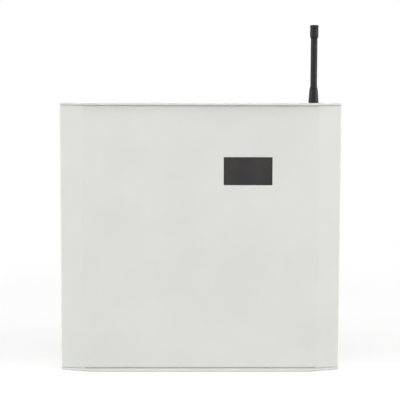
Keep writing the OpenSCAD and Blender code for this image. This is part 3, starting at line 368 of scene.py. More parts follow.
def soft_edges():
    """Geometry nodes that shade smooth except over sharp edges."""
    group = bpy.data.node_groups.new("soft_edges", "GeometryNodeTree")
    for way in ("INPUT", "OUTPUT"):
        group.interface.new_socket("Geometry", in_out=way, socket_type="NodeSocketGeometry")
    g = Nodes(group)
    start = g.node("NodeGroupInput")
    faces = g.node("GeometryNodeSetShadeSmooth", Geometry=start.outputs[0])
    faces.domain = "FACE"
    angle = g.node("GeometryNodeInputMeshEdgeAngle").outputs["Unsigned Angle"]
    sharp = g.node("FunctionNodeCompare", angle, SHARP_EDGE)
    sharp.operation = "GREATER_THAN"
    edges = g.node("GeometryNodeSetShadeSmooth", Geometry=faces.outputs[0], Selection=sharp.outputs[0],
                   Shade_Smooth=False)
    edges.domain = "EDGE"
    g.node("NodeGroupOutput", edges.outputs[0])
    return group


SOFT_EDGES = soft_edges()


def smoothed(obj, bevel, weld=False):
    """Adds the modifiers that round a piece's edges and shade it."""
    if weld:
        same = obj.modifiers.new("weld", "WELD")
        same.merge_threshold = SAME_POINT
        flats = obj.modifiers.new("flats", "DECIMATE")
        flats.decimate_type, flats.angle_limit = "DISSOLVE", SAME_PLANE
    if bevel:
        round_off = obj.modifiers.new("bevel", "BEVEL")
        round_off.width, round_off.segments = bevel, 2
        round_off.limit_method, round_off.angle_limit = "ANGLE", BEVELLED_EDGE
    shade = obj.modifiers.new("shade", "NODES")
    shade.node_group = SOFT_EDGES
    normals = obj.modifiers.new("flat_faces", "WEIGHTED_NORMAL")
    normals.keep_sharp, normals.weight = True, 60


def new_object(name, bm):
    """Turns a bmesh into an object of the scene."""
    mesh = bpy.data.meshes.new(name)
    bm.to_mesh(mesh)
    bm.free()
    obj = bpy.data.objects.new(name, mesh)
    bpy.context.scene.collection.objects.link(obj)
    return obj


def add_piece(name, bm, slot, body="chassis", bevel=0.0, finish=None, instead=()):
    """Turns a bmesh into a piece that rides on a body; instead names the CAD nodes that it stands for."""
    bmesh.ops.recalc_face_normals(bm, faces=bm.faces)
    bm.normal_update()
    obj = new_object(name, bm)
    obj.data.materials.append(MATERIALS[finish or slot])
    smoothed(obj, bevel)
    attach(obj, body)
    if instead:
        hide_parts(*instead)
    return obj


# Shapes in a bmesh

CORNERS = ((1, 1), (-1, 1), (-1, -1), (1, -1))


def corners(x, y, w, l):
    """Corners of a rectangle centred on (x, y)."""
    return [(x + sx * w / 2, y + sy * l / 2) for sx, sy in CORNERS]


def arc(cx, cy, r, a, b, n=6):
    """Points of an arc from a to b degrees."""
    turns = [math.radians(a + (b - a) * i / n) for i in range(n + 1)]
    return [(cx + r * math.cos(t), cy + r * math.sin(t)) for t in turns]


def rounded(cx, cy, w, l, r):
    """Outline of a rectangle with round corners."""
    points = []
    for i, (x, y) in enumerate(corners(cx, cy, w - 2 * r, l - 2 * r)):
        points += arc(x, y, r, 90 * i, 90 * i + 90)
    return points


def block(bm, a, b):
    """Box between two opposite corners, in metres."""
    m = Matrix.Translation((Vector(a) + Vector(b)) / 2)
    size = [abs(q - p) for p, q in zip(a, b)]
    bmesh.ops.create_cube(bm, size=1.0, matrix=m @ Matrix.Diagonal((*size, 1)))


def loft(bm, rings, closed=False):
    """Skin over rings of points, capped at both ends or closed on itself; a ring of one point is a tip."""
    rows = [[bm.verts.new(p) for p in ring] for ring in rings]
    for a, b in zip(rows, rows[1:] + rows[:1] if closed else rows[1:]):
        count = max(len(a), len(b))
        for i in range(count):
            j = (i + 1) % count
            face = dict.fromkeys((a[i % len(a)], a[j % len(a)], b[j % len(b)], b[i % len(b)]))
            if len(face) > 2:
                bm.faces.new(tuple(face))
    if not closed:
        bm.faces.new(rows[0][::-1])
        bm.faces.new(rows[-1])


def turned(bm, profile, centre, axis="z", steps=48, lift=None):
    """Closed outline of (radius, height) in mm, turned about an axis through centre."""
    rings = []
    for radius, height in profile:
        ring = []
        for i in range(steps if radius else 1):
            a = 2 * math.pi * i / steps
            r, h = radius * MM + (lift(a) if lift else 0), height * MM
            c, s = r * math.cos(a), r * math.sin(a)
            ring.append(Vector(centre) + Vector({"z": (c, s, h), "y": (c, -h, s), "x": (h, c, s)}[axis]))
        rings.append(ring)
    loft(bm, rings, closed=True)


def holed_plate(bm, place, w, l, r, low, high, steps=32):
    """Plate w by l with a round hole; place(x, z, h) gives a point."""
    outer, inner = [], []
    for i in range(steps):
        a = 2 * math.pi * (i + 0.5) / steps
        c, s = math.cos(a), math.sin(a)
        k = min(w / 2 / abs(c), l / 2 / abs(s))
        outer.append((k * c, k * s))
        inner.append((r * c, r * s))
    sides = ((outer, low), (outer, high), (inner, high), (inner, low))
    loft(bm, [[place(x, z, h) for x, z in line] for line, h in sides], closed=True)


class Board:
    """A circuit board seen from the side of its parts, in mm.

    x runs right and z up from its lower left corner, h off its face.
    """

    line_foot, track_height, print_height = -0.02, 0.035, 0.03
    print_width = 0.18

    def __init__(self, node):
        self.x, self.y, self.z = BOX[node][0]

    def at(self, x, z, h=0.0):
        return Vector((self.x + x * MM, self.y - h * MM, self.z + z * MM))

    def spot(self, point):
        """The x and z of a point in space."""
        return (point.x - self.x) / MM, (point.z - self.z) / MM

    def box(self, bm, x, z, w, l, h, foot=0.0):
        """Box centred on (x, z)."""
        block(bm, self.at(x - w / 2, z - l / 2, foot), self.at(x + w / 2, z + l / 2, foot + h))

    def band(self, a, b, low, high):
        """Ring of four points: from a to b at two heights."""
        return [self.at(*a, low), self.at(*b, low), self.at(*b, high), self.at(*a, high)]

    def turn(self, bm, profile, x, z, steps):
        """Outline turned about the line off the board at (x, z)."""
        turned(bm, profile, self.at(x, z), "y", steps)

    def strip(self, bm, points, width):
        """Flat line along points, mitred at its bends."""
        rings = []
        for before, point, after in zip(points[:1] + points, points, points[1:] + points[-1:]):
            point = Vector(point)
            ahead, back = Vector(after) - point, point - Vector(before)
            ahead = ahead.normalized() if ahead.length else back.normalized()
            back = back.normalized() if back.length else ahead
            way = (ahead + back).normalized()
            side = Vector((-way.y, way.x)) * (width / 2 / max(0.5, way.dot(ahead)))
            rings.append(self.band(point + side, point - side, self.line_foot, self.track_height))
        loft(bm, rings)

    def outline(self, bm, x, z, w, l):
        """Printed rectangle centred on (x, z)."""
        pairs = zip(corners(x, z, w, l), corners(x, z, w - 2 * self.print_width, l - 2 * self.print_width))
        loft(bm, [self.band(a, b, self.line_foot, self.print_height) for a, b in pairs], closed=True)

    def ring(self, bm, x, z, outer, inner, height, steps):
        foot = self.line_foot
        self.turn(bm, [(inner, foot), (outer, foot), (outer, height), (inner, height)], x, z, steps)


MAIN, SCREEN, RADIO = (Board(f"{name}_board") for name in ("main", "display", "radio"))


# Antenna

# Radii of the rubber sleeve in mm; heights count from the top of the case.
FOOT, BOOT, SHAFT, COLLAR, BORE = 5.55, 4.75, 3.65, 4.6, 2.344


def mould_seam(angle):
    """Faint line down both flanks, as a lift in metres."""
    height, half_width, turn = 0.00006, 0.035, 0.9
    off = abs((angle - turn + math.pi / 2) % math.pi - math.pi / 2)
    return height * math.exp(-(off / half_width) ** 2)


def antenna():
    low, high = BOX["antenna_sleeve"]
    centre = ((low.x + high.x) / 2, (low.y + high.y) / 2, BOX["base_chassis"][1].z)
    sleeve = [(5.0, 0.1), (5.3, 0.14), (5.5, 0.35), (FOOT, 0.7), (FOOT - 0.14, 2.4)]
    sleeve += [(BOOT + 0.02, 11.4), (BOOT, 11.7)]
    for i in range(15):
        share = (1 + math.cos(math.pi * i / 14)) / 2
        sleeve.append((SHAFT + (BOOT - SHAFT) * share, 12 + 7.5 * i / 14))
    sleeve += [(SHAFT, 22 + 3.9 * i) for i in range(12)]
    sleeve += [(SHAFT, 68.4), (SHAFT + 0.06, 68.8), (COLLAR - 0.12, 71.4), (COLLAR, 71.9)]
    sleeve += [(COLLAR, 74), (COLLAR, 76.5), (COLLAR, 79.2), (COLLAR - 0.1, 79.42), (COLLAR - 0.4, 79.62)]
    sleeve += [(COLLAR - 0.4, 79.8), (BORE, 79.8), (BORE, 12.3), (4.025, 12.3), (4.025, 2.4)]
    sleeve += [(4.79, 2.4), (4.79, 0.1)]
    bm = bmesh.new()
    turned(bm, sleeve, centre, steps=144, lift=mould_seam)
    add_piece("antenna_rubber", bm, "black_rubber", "antenna", instead=["antenna_sleeve"])

    cap = [(0, 77.8), (BORE, 77.8), (BORE, 79.8), (COLLAR - 0.45, 79.8), (COLLAR - 0.42, 80.0)]
    cap += [(COLLAR - 0.06, 80.15), (COLLAR, 80.4), (COLLAR, 82.6)] + arc(COLLAR - 0.8, 82.7, 0.8, 0, 90, 8)
    cap += [(2.6, 83.5), (2.3, 83.42), (1.9, 83.36), (0, 83.36)]
    bm = bmesh.new()
    turned(bm, cap, centre, steps=144)
    add_piece("antenna_tip", bm, "black_rubber", "antenna", instead=["antenna_cap"])


# Leads and ribbon

# Across the battery from its left side, and in from its front, in metres.
BATTERY_TABS = {"red": 0.010, "black": 0.026}
TAB_DEPTH = 0.009


def battery_tab(name, z):
    """Point over a battery tab."""
    low = BOX["battery"][0]
    return Vector((low.x + BATTERY_TABS[name], low.y + TAB_DEPTH, z))


def coax_ends():
    """Where the coaxial lead leaves its plug and its jack."""
    plug, tail = BOX["coax_plug"], BOX["antenna_jack"]
    lift = 0.0025
    start = Vector(((plug[0].x + plug[1].x) / 2, RADIO.y - lift, plug[1].z))
    end = Vector(((tail[0].x + tail[1].x) / 2, (tail[0].y + tail[1].y) / 2, tail[0].z))
    return start, end


def smooth_route(p, steps):
    """The same curve through points as the CAD's, with straight ends."""
    out = [p[0]]
    for a, b, c, d in zip(p, p[1:], p[2:], p[3:]):
        for t in (i / steps for i in range(steps)):
            out.append(0.5 * (2 * b + (c - a) * t + (2 * a - 5 * b + 4 * c - d) * t * t
                              + (3 * b - a - 3 * c + d) * t ** 3))
    return out + [p[-2], p[-1]]


def tube(bm, points, radius, sides=24):
    """Round closed tube along points, its rings square to the path and not twisted."""
    ways = [(b - a).normalized() for a, b in zip(points[:1] + points[:-1], points[1:] + points[-1:])]
    side = ways[0].orthogonal().normalized()
    rings = []
    for p, way in zip(points, ways):
        side = (side - way * side.dot(way)).normalized()
        other = way.cross(side)
        turns = [2 * math.pi * i / sides for i in range(sides)]
        rings.append([p + radius * (math.cos(a) * side + math.sin(a) * other) for a in turns])
    loft(bm, rings)


def lead(name, node, route, diameter, slot):
    """A round insulated lead along a route."""
    points = smooth_route(route, 10)
    bm = bmesh.new()
    tube(bm, points, diameter / 2)
    obj = add_piece(name, bm, slot, instead=[node])


def shift(x, y, z):
    """A step in mm as a vector in metres."""
    return Vector((x, y, z)) * MM


def coax_lead():
    start, end = coax_ends()
    route = [start, start + shift(0, 0, 6), start + shift(0, -4, 13)]
    route += [end + shift(0, 6, -13), end + shift(0, 0, -5), end]
    lead("coax_jacket", "coax_lead", route, 0.0026, "brown_cable")


def battery_leads():
    top = BOX["lead_receptacles"][1].z
    socket, front = middle("battery_socket"), BOX["battery_socket"][0].y
    for i, name in enumerate(BATTERY_TABS):
        rise = 5 + 5 * i
        crest = top + (8 + rise) * MM
        a = battery_tab(name, top)
        b = Vector((socket.x, front, socket.z + (5 * i - 2.5) * MM))
        route = [a, a + shift(0, 0, 5), a + shift(-4, 0, 5 + rise),
                 Vector(((a.x + b.x) / 2, (a.y + b.y) / 2 - 4 * MM, crest)),
                 b + Vector((4 * MM, -10 * MM, (crest - b.z) / 2)), b + shift(0, -5, 0), b]
        lead(f"lead_{name}", f"battery_lead_{name}", route, 0.002, f"{name}_insulation")


def ribbon():
    """Flat cable: its cores run along it, round its two folds."""
    cores, steps, thick, groove = 14, 8, 0.9, 0.22
    (x0, y0, z0), (x1, y1, z1) = (p / MM for p in BOX["ribbon_cable"])
    y_main, y_display = y1 - thick / 2, y0 + thick / 2
    fold_x, r, straight = 1.35, 2 + thick / 2, 1
    path = [(x0, y_main), (x0 + straight, y_main)]
    path += arc(fold_x - r, y_main - r, r, 90, 0, 8)
    path += arc(fold_x + r, y_display + r, r, 180, 270, 8)
    path += [(x1 - straight, y_display), (x1, y_display)]
    section = []
    for i in range(cores * steps + 1):
        swell = math.sqrt(max(0.0, math.sin(math.pi * (i / steps % 1.0))))
        section.append((z0 + (z1 - z0) * i / (cores * steps), groove + (thick / 2 - groove) * swell))
    outline = section + [(z, -h) for z, h in reversed(section)]
    rings = []
    for (x, y), a, b in zip(path, path[:1] + path, path[1:] + path[-1:]):
        way = Vector((b[0] - a[0], b[1] - a[1])).normalized()
        rings.append([Vector((x - way.y * h, y + way.x * h, z)) * MM for z, h in outline])
    bm = bmesh.new()
    loft(bm, rings)
    add_piece("ribbon_cores", bm, "grey_ribbon", instead=["ribbon_cable"])


# Foam

def foam_sheet(name, node, corner, hole=None):
    """Die-cut foam with rolled rims and, where hole is given, a window through it."""
    low, high = BOX[node]
    cx, cz = (low.x + high.x) / 2, (low.z + high.z) / 2
    roll = min(0.0004, (high.y - low.y) * 0.4)
    front, back, turns = low.y + roll, high.y - roll, (0.5, 1.05)
    section = [(roll, low.y)] + [(roll - roll * math.sin(a), front - roll * math.cos(a)) for a in turns]
    section += [(0, front), (0, back)]
    section += [(roll - roll * math.cos(a), back + roll * math.sin(a)) for a in turns] + [(roll, high.y)]

    def outline(width, height, r, y):
        return [(x, y, z) for x, z in rounded(cx, cz, width, height, r)]

    w, h = high.x - low.x, high.z - low.z
    rings = [outline(w - 2 * i, h - 2 * i, corner - i, y) for i, y in section]
    if hole:
        rings += [outline(hole[0] + 2 * i, hole[1] + 2 * i, 0.001 + i, y) for i, y in reversed(section)]
    bm = bmesh.new()
    loft(bm, rings, closed=bool(hole))
    obj = add_piece(name, bm, "black_foam", NODES[node]["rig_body"], instead=[node])


def foams():
    low, high = BOX["display_frame"]
    opening = (high.x - low.x - 0.017, high.z - low.z - 0.013)
    foam_sheet("gasket_foam", "window_gasket", 0.002, opening)
    foam_sheet("battery_foam", "battery_pad", 0.001)


# Parts of the main board

# Each chip: x, z, width, length, legs a side, their pitch, and how many sides have legs.
CHIPS = [
    (51.9, 104.8, 14, 14, 16, 0.8, 4), (23.6, 104.8, 6, 12, 8, 1.27, 2), (23.6, 74.8, 6, 12, 8, 1.27, 2),
    (80.2, 136.8, 7.5, 11, 7, 1.27, 2), (28.3, 46.0, 4, 5.4, 4, 1.27, 2)
]
# Each capacitor: x, z, diameter, height, and diameter of the ring printed round it.
CANS = [
    (63.72, 46, 10, 16, 11.2), (63.72, 60, 10, 16, 11.2), (46.02, 46, 6.3, 11.2, 7.4),
    (46.02, 56, 6.3, 11.2, 7.4), (97.94, 112.76, 6.3, 11.2, 7.4)
]
# Middle of each line terminal along x.
LINES_X = [7.8 + 5.08 * (i + 0.5) for i in range(10)]


def gull_leg(bm, board, x, z, dx, dz, width, reach=1.0):
    """Leg that leaves a body outward, bends down and lies flat on its pad."""
    half, bend = 0.07, ((-0.2, 0.92), (0.2, 0.92), (0.34, 0.84), (0.52, 0.2), (0.64, 0.1), (reach, 0.1))
    side, rings = Vector((-dz, dx)) * width / 2, []
    for u, h in bend:
        p = Vector((x + dx * u, z + dz * u))
        rings.append(board.band(p + side, p - side, h - half, h + half))
    loft(bm, rings)


def leg_places():
    """Where each leg of each chip leaves its body: x, z, outward direction and width."""
    for x, z, w, l, count, pitch, sides in CHIPS:
        for i in range(count):
            off = (i - (count - 1) / 2) * pitch
            for s in (-1, 1):
                yield x + s * w / 2, z + off, s, 0, pitch * 0.38
                if sides == 4:
                    yield x + off, z + s * l / 2, 0, s, pitch * 0.38


def chips():
    """Moulded bodies, widest at the height of their legs, on soldered pads."""
    bodies, legs, pads, dots = (bmesh.new() for _ in range(4))
    for x, z, w, l, *_ in CHIPS:
        section = ((0.14, 0.2), (0.0, 0.86), (0.0, 0.98), (0.1, 1.62), (0.24, 1.8))
        loft(bodies, [[MAIN.at(*p, h) for p in corners(x, z, w - 2 * inset, l - 2 * inset)]
                      for inset, h in section])
        dot = [(0, 1.78), (0.35, 1.78), (0.35, 1.825), (0, 1.825)]
        MAIN.turn(dots, dot, x - w / 2 + 1.1, z + l / 2 - 1.1, 20)
    for x, z, dx, dz, width in leg_places():
        gull_leg(legs, MAIN, x, z, dx, dz, width)
        w, l = (1.0 if outward else width * 1.25 for outward in (dx, dz))
        MAIN.box(pads, x + 0.85 * dx, z + 0.85 * dz, w, l, 0.05, -0.01)
    add_piece("chip_bodies", bodies, "black_plastic", bevel=0.00006, instead=["logic_chips"])
    add_piece("chip_legs", legs, "tin_plate", instead=["logic_chips"])
    add_piece("chip_pads", pads, "tin_plate")
    add_piece("chip_dots", dots, "white_plastic")


def capacitors():
    """Sleeved cans with a rolled groove, a scored top and a stripe."""
    sleeves, tops, stripes = (bmesh.new() for _ in range(3))
    for x, z, diameter, h, _ in CANS:
        r = diameter / 2
        sleeve = [(0, 0.05), (r - 0.5, 0.05), (r - 0.2, 0.12), (r, 0.4), (r, 1.5), (r - 0.1, 1.75)]
        sleeve += [(r - 0.26, 1.95), (r - 0.3, 2.2), (r - 0.26, 2.45), (r - 0.1, 2.62), (r, 2.85)]
        sleeve += [(r, h - 0.9)] + arc(r - 0.6, h - 0.6, 0.6, 0, 90)
        sleeve += [(r - 1.1, h), (r - 1.1, h - 0.25), (0, h - 0.25)]
        MAIN.turn(sleeves, sleeve, x, z, 56)

        top, score = r - 1.15, 0.16
        rim = top - 0.15
        MAIN.turn(tops, [(0, h - 0.3), (top, h - 0.3), (top, h - 0.16), (0, h - 0.16)], x, z, 40)
        lean = math.degrees(math.asin(score / rim))
        for i, (sx, sz) in enumerate(CORNERS):
            quarter = [(sx * score, sz * score)] + arc(0, 0, rim, 90 * i + lean, 90 * i + 90 - lean, 8)
            loft(tops, [[MAIN.at(x + u, z + v, level) for u, v in quarter] for level in (h - 0.2, h - 0.08)])

        inner, outer = (arc(x, z, reach, 60, 110, 8) for reach in (r - 0.05, r + 0.03))
        loft(stripes, [MAIN.band(a, b, 3.1, h - 1.0) for a, b in zip(inner, outer)])
    add_piece("capacitor_sleeves", sleeves, "capacitor_sleeve", instead=["board_capacitors"])
    add_piece("capacitor_tops", tops, "tin_plate", instead=["board_capacitors"])
    add_piece("capacitor_stripes", stripes, "grey_ribbon", instead=["board_capacitors"])


def regulator():
    """Moulded body on three soldered legs, its holed metal tab reaching past it."""
    x0, z0 = MAIN.spot(middle("regulator"))[0], MAIN.spot(BOX["regulator"][0])[1]
    body, tab, legs = (bmesh.new() for _ in range(3))
    rings = []
    for inset, h in ((0.25, 4.0), (0.0, 4.5), (0.0, 12.6), (0.2, 13.0)):
        section = ((-1, 0.02), (1, 0.02), (1, 3.5), (0.86, 4.4 - inset), (-0.86, 4.4 - inset), (-1, 3.5))
        rings.append([MAIN.at(x0 + side * (5 - inset), z0 + z, h) for side, z in section])
    loft(body, rings)
    holed_plate(tab, lambda x, h, z: MAIN.at(x0 + x, z0 + z, 15.9 + h), 10, 6.2, 1.85, 0.02, 1.3)
    MAIN.box(tab, x0, z0 + 0.66, 9.4, 1.26, 9.2, 4.2)
    z = z0 + 1.9
    for x in (x0 - 2.54, x0, x0 + 2.54):
        loft(legs, [[MAIN.at(*p, h) for p in corners(x, z, w, 0.56)]
                    for h, w in ((4.3, 1.2), (3.2, 1.2), (2.9, 0.8), (0.0, 0.8))])
        solder = [(0, -0.02), (1.05, -0.02), (1.0, 0.12), (0.7, 0.3), (0.45, 0.75), (0, 0.8)]
        MAIN.turn(legs, solder, x, z, 20)
    add_piece("regulator_body", body, "black_plastic", bevel=0.0001, instead=["regulator"])
    add_piece("regulator_tab", tab, "tin_plate", bevel=0.00006, instead=["regulator"])
    add_piece("regulator_legs", legs, "tin_plate", instead=["regulator"])


def fuse():
    """Glass tube with a sagging wire between two crimped caps."""
    caps, glass, wire = (bmesh.new() for _ in range(3))
    left, z, height = 70.24, 18, 6.5
    end = MAIN.at(left, z, height)
    for a, b, s in ((0, 5.5, 1), (20, 14.5, -1)):
        cap = [(0, a), (2.3, a), (2.5, a + 0.08 * s), (2.6, a + 0.3 * s), (2.6, b - 0.5 * s)]
        cap += [(2.56, b - 0.3 * s), (2.6, b - 0.15 * s), (2.57, b), (2.44, b), (2.44, a + 0.4 * s)]
        turned(caps, cap + [(0, a + 0.4 * s)], end, "x")
    turned(glass, [(1.95, 0.6), (2.4, 0.6), (2.4, 19.4), (1.95, 19.4)], end, "x")
    steps, thick, sag = 16, 0.09, 0.5
    rings = []
    for i in range(steps + 1):
        around = arc(0, -sag * math.sin(math.pi * i / steps), thick, 0, 315, 7)
        rings.append([end + shift(0.5 + 19 * i / steps, y, z) for y, z in around])
    loft(wire, rings)
    add_piece("fuse_caps", caps, "nickel", instead=["fuse"])
    add_piece("fuse_tube", glass, "fuse_glass", instead=["fuse"])
    add_piece("fuse_wire", wire, "tin_plate", instead=["fuse"])


# Circuit boards

def fan_out():
    """Tracks of the main board: each is its points and its width."""
    processor, memory, driver = (CHIPS[i][1] for i in (0, 2, 3))
    coarse, fine = CHIPS[2][5], CHIPS[0][5]
    tracks = []
    for i in range(8):
        a, b = processor + (i - 3.5) * coarse, processor + (i - 3.5) * fine
        tracks.append(([(28.0, a), (33.5, a), (33.5 + abs(a - b), b), (43.6, b)], 0.3))
        c, lane = memory + (i - 3.5) * coarse, 36.5 - 0.8 * i
        tracks.append(([(28.0, c), (lane, c), (lane + 3.7, c + 3.7), (lane + 3.7, 90)], 0.3))
    for i, end in enumerate(LINES_X):
        start, lane = 45.9 + 1.2 * i, 120.5 + 0.95 * i
        bend = [(start, lane - 1.4), (end, lane - 1.4 + start - end)]
        if end < start - 3:
            bend = [(start, lane - 1.4), (start - 1.4, lane), (end + 1.4, lane), (end, lane + 1.4)]
        tracks.append(([(start, 113.6)] + bend + [(end, 160.6)], 0.35))
        tracks.append(([(end, 174.6), (end, 181.6)], 0.9))
    for i in range(7):
        lane, rail = driver + (3 - i) * coarse, 101.2 + 1.0 * i
        tracks.append(([(85.6, lane), (rail - 1.2, lane), (rail, lane + 1.2), (rail, 166.6)], 0.35))
        leg, riser = 105.2 - 0.8 * i, 67.2 + 0.95 * i
        tracks.append(([(60.4, leg), (riser - 1.2, leg), (riser, leg + 1.2), (riser, lane - 1.2),
                        (riser + 1.2, lane), (75.0, lane)], 0.3))
    return tracks + [
        ([(54, 11.4), (54, 20), (60, 26), (66, 26), (70.5, 21.5), (70.5, 18), (73, 18)], 2.6),
        ([(87.4, 18), (91, 18), (94.6, 21.6), (94.6, 36.6)], 2.6),
        ([(89.5, 50.8), (85, 55.3), (80, 55.3), (75, 53), (69, 53)], 2.6),
        ([(63.7, 65.4), (63.7, 84), (57.5, 90.2), (57.5, 96)], 1.8),
        ([(110, 74.6), (110, 56), (104, 50), (97.8, 50)], 1.8),
        ([(28.0, 26), (28.0, 38), (28.3, 42)], 0.5), ([(24.0, 26), (24.0, 40), (26.4, 42.4)], 0.5),
        ([(97.9, 109), (97.9, 90), (106.4, 82)], 1.2),
        ([(75.5, 157), (75.5, 149), (78, 145.6), (78, 143.4)], 0.4),
        ([(84.5, 157), (84.5, 149), (82, 145.6), (82, 143.4)], 0.4),
        ([(93.5, 157), (93.5, 150), (96.5, 147)], 0.4)
    ]


# Surface-mount parts are placed as x, z, length along x, length along z.
UPRIGHT, FLAT = (1.25, 2.0), (2.0, 1.25)


def placed(size, *places):
    """Parts of one size at each place."""
    return [(x, z, *size) for x, z in places]


def small_parts():
    """Surface-mount parts of the main board."""
    parts = []
    for x in LINES_X:
        parts += [(x, 172.6, 1.25, 3.2), (x, 164.0, 1.25, 2.4)]
    parts += placed(FLAT, (40.6, 94.6), (40.6, 115.2), (63.4, 94.6), (63.4, 115.2), (51.9, 92.4))
    parts += placed(UPRIGHT, *((18 + 4 * i, 24.4) for i in range(6)))
    return parts + placed(
        UPRIGHT, (34.4, 48.6), (34.4, 44.0), (22.4, 46), (15.6, 104.8), (15.6, 74.8), (72.4, 130),
        (72.4, 134), (91.6, 126), (91.6, 122), (75.5, 152.6), (84.5, 152.6), (93.5, 153.4), (104, 88),
        (104, 76), (80, 62), (80, 66), (12, 60), (12, 56), (12, 52))


def part_box(bm, board, part, off, share, wide, h, foot):
    """Box on a surface-mount part: off its middle and long by shares of its length, wide times its width."""
    x, z, w, l = part
    if l > w:
        board.box(bm, x, z + off * l, w * wide, l * share, h, foot)
    else:
        board.box(bm, x + off * w, z, w * share, l * wide, h, foot)


def board_surface(name, board, tracks, parts, outlines, rings, holes):
    """One board's face: outlines are x, z, width, length, and rings x, z, diameter of what is printed."""
    lines, bodies, ends, ink, plated = (bmesh.new() for _ in range(5))
    for points, width in tracks:
        board.strip(lines, points, width)
    for x, z in holes:
        board.ring(plated, x, z, 0.45, 0.2, 0.045, 14)
    for part in parts:
        part_box(bodies, board, part, 0, 0.62, 1, 0.5, 0.08)
        for s in (-1, 1):
            part_box(ends, board, part, 0.4 * s, 0.2, 1.02, 0.52, 0.07)
            part_box(plated, board, part, 0.55 * s, 0.34, 1.15, 0.07, -0.01)
    for outline in outlines:
        board.outline(ink, *outline)
    for x, z, d in rings:
        board.ring(ink, x, z, d / 2, d / 2 - board.print_width, board.print_height, 40)
    add_piece(f"{name}_tracks", lines, "green_board", finish="track")
    add_piece(f"{name}_small_parts", bodies, "black_plastic", bevel=0.00005)
    add_piece(f"{name}_solder_ends", ends, "tin_plate", bevel=0.00004)
    add_piece(f"{name}_print", ink, "white_plastic")
    add_piece(f"{name}_plated_holes", plated, "tin_plate")


def main_surface():
    outlines = [(x, z, w + 4.4, l + 4.4) for x, z, w, l, _, _, sides in CHIPS if sides == 4]
    outlines += [(x, z, w + 3.6, l + 1.6) for x, z, w, l, _, _, sides in CHIPS if sides == 2]
    outlines += [(92.0, 43.8, 22.4, 16.6), (80.24, 18, 24, 8.4), (110, 80, 8, 12), (104, 178.8, 11, 26),
                 (33.2, 187.8, 53.4, 13.2), (28, 9.8, 17.4, 18.6), (54, 5.8, 10.4, 12.2)]
    rings = [(x, z, ring) for x, z, _, _, ring in CANS] + [(x, 160, 5) for x in (75.5, 84.5, 93.5)]
    tracks = fan_out()
    thin = [points for points, width in tracks if width < 0.5]
    ends = [points[-1] for points in thin] + [points[0] for points in thin]
    holes = [(x, z) for x, z in ends if not (43 < x < 61 and 96 < z < 114) and z < 165]
    board_surface("main", MAIN, tracks, small_parts(), outlines, rings, holes)


KEYS = [SCREEN.spot(middle(f"{name}_key")) for name in ("up", "down", "enter", "back")]


def screen_surface():
    tracks = []
    for i, (x, _) in enumerate(KEYS):
        lane = 20.6 + 1.3 * i
        tracks.append(([(x, 16.4), (x, lane - 1.2), (x - 1.2, lane), (9, lane)], 0.4))
    tracks += [([(x + 3.4, 7.6), (x + 8.6, 7.6)], 0.8) for x, _ in KEYS[:-1]]
    tracks += [([(76, 17.2), (76, 24.6), (72, 28.6)], 0.4), ([(79, 17.2), (79, 24.6), (83, 28.6)], 0.4)]
    parts = placed(UPRIGHT, (64, 12), (67.4, 12), (86, 12), (89.4, 12))
    parts += placed(FLAT, (9, 40), (9, 44), (9, 48), (88, 40), (88, 44))
    outlines = [(x, z, 8.2, 8.2) for x, z in KEYS] + [(76, 12, 11.2, 11.6), (48, 52, 71.4, 45.4)]
    holes = [points[-1] for points, _ in tracks] + [(9 + 4.4 * i, 79) for i in range(16)]
    board_surface("screen", SCREEN, tracks, parts, outlines, [], holes)


def radio_surface():
    pitch = 3.6
    fence = [(x, 10 + pitch * i) for x in (1.0, 39.0) for i in range(18)]
    fence += [(4 + pitch * i, z) for z in (6.6, 75.6) for i in range(10)]
    parts = placed(UPRIGHT, (8, 80), (11, 80), (29, 80), (32, 80))
    parts += placed(FLAT, (12, 3.4), (16, 3.4), (20, 3.4), (24, 3.4))
    tracks = [([(20, 76.4), (20, 79.4)], 1.1), ([(8, 84), (32, 84)], 0.6)]
    board_surface("radio", RADIO, tracks, parts, [(20, 80.5, 9, 9)], [], fence)


# Small fittings

def keys():
    """Holed plates, riveted pegs and legs of the four keys."""
    plates, pegs, legs = (bmesh.new() for _ in range(3))
    for x, z in KEYS:
        holed_plate(plates, lambda u, v, h: SCREEN.at(x + u, z + v, h), 5.8, 5.8, 2.0, 3.48, 3.72)
        for u, v in corners(x, z, 4.6, 4.6):
            SCREEN.turn(pegs, [(0, 3.6), (0.42, 3.6), (0.42, 3.8), (0.3, 3.9), (0, 3.92)], u, v, 16)
        for sx, sz in CORNERS:
            gull_leg(legs, SCREEN, x + 3.0 * sx, z + 2.25 * sz, sx, 0, 0.7, 1.1)
    add_piece("key_plates", plates, "tin_plate", bevel=0.00005)
    add_piece("key_pegs", pegs, "black_plastic")
    add_piece("key_legs", legs, "tin_plate")


def terminal_clamps():
    """Steel cage in each opening of the line terminals."""
    bm = bmesh.new()
    z, length = 188, 7
    cage = ((3.3, 0.3, 0, 3.05), (3.3, 0.3, 0, 6.62), (0.25, 3.4, -1.5, 3.2), (0.25, 3.4, 1.5, 3.2))
    for x in LINES_X:
        for w, h, off, foot in cage:
            MAIN.box(bm, x + off, z, w, length, h, foot)
    add_piece("terminal_clamps", bm, "zinc_steel", bevel=0.00006)


def socket_contacts():
    """Eight sprung wires inside the data socket."""
    bm = bmesh.new()
    middle_x, pitch = MAIN.spot(middle("data_socket"))[0], 1.02
    for i in range(8):
        x = middle_x + (i - 3.5) * pitch
        bend = ((-1.4, 3.3), (-0.6, 3.45), (7.6, 6.2), (9.9, 6.6))
        loft(bm, [MAIN.band((x - 0.22, z), (x + 0.22, z), h - 0.16, h + 0.16) for z, h in bend])
    add_piece("socket_contacts", bm, "gold_brass")


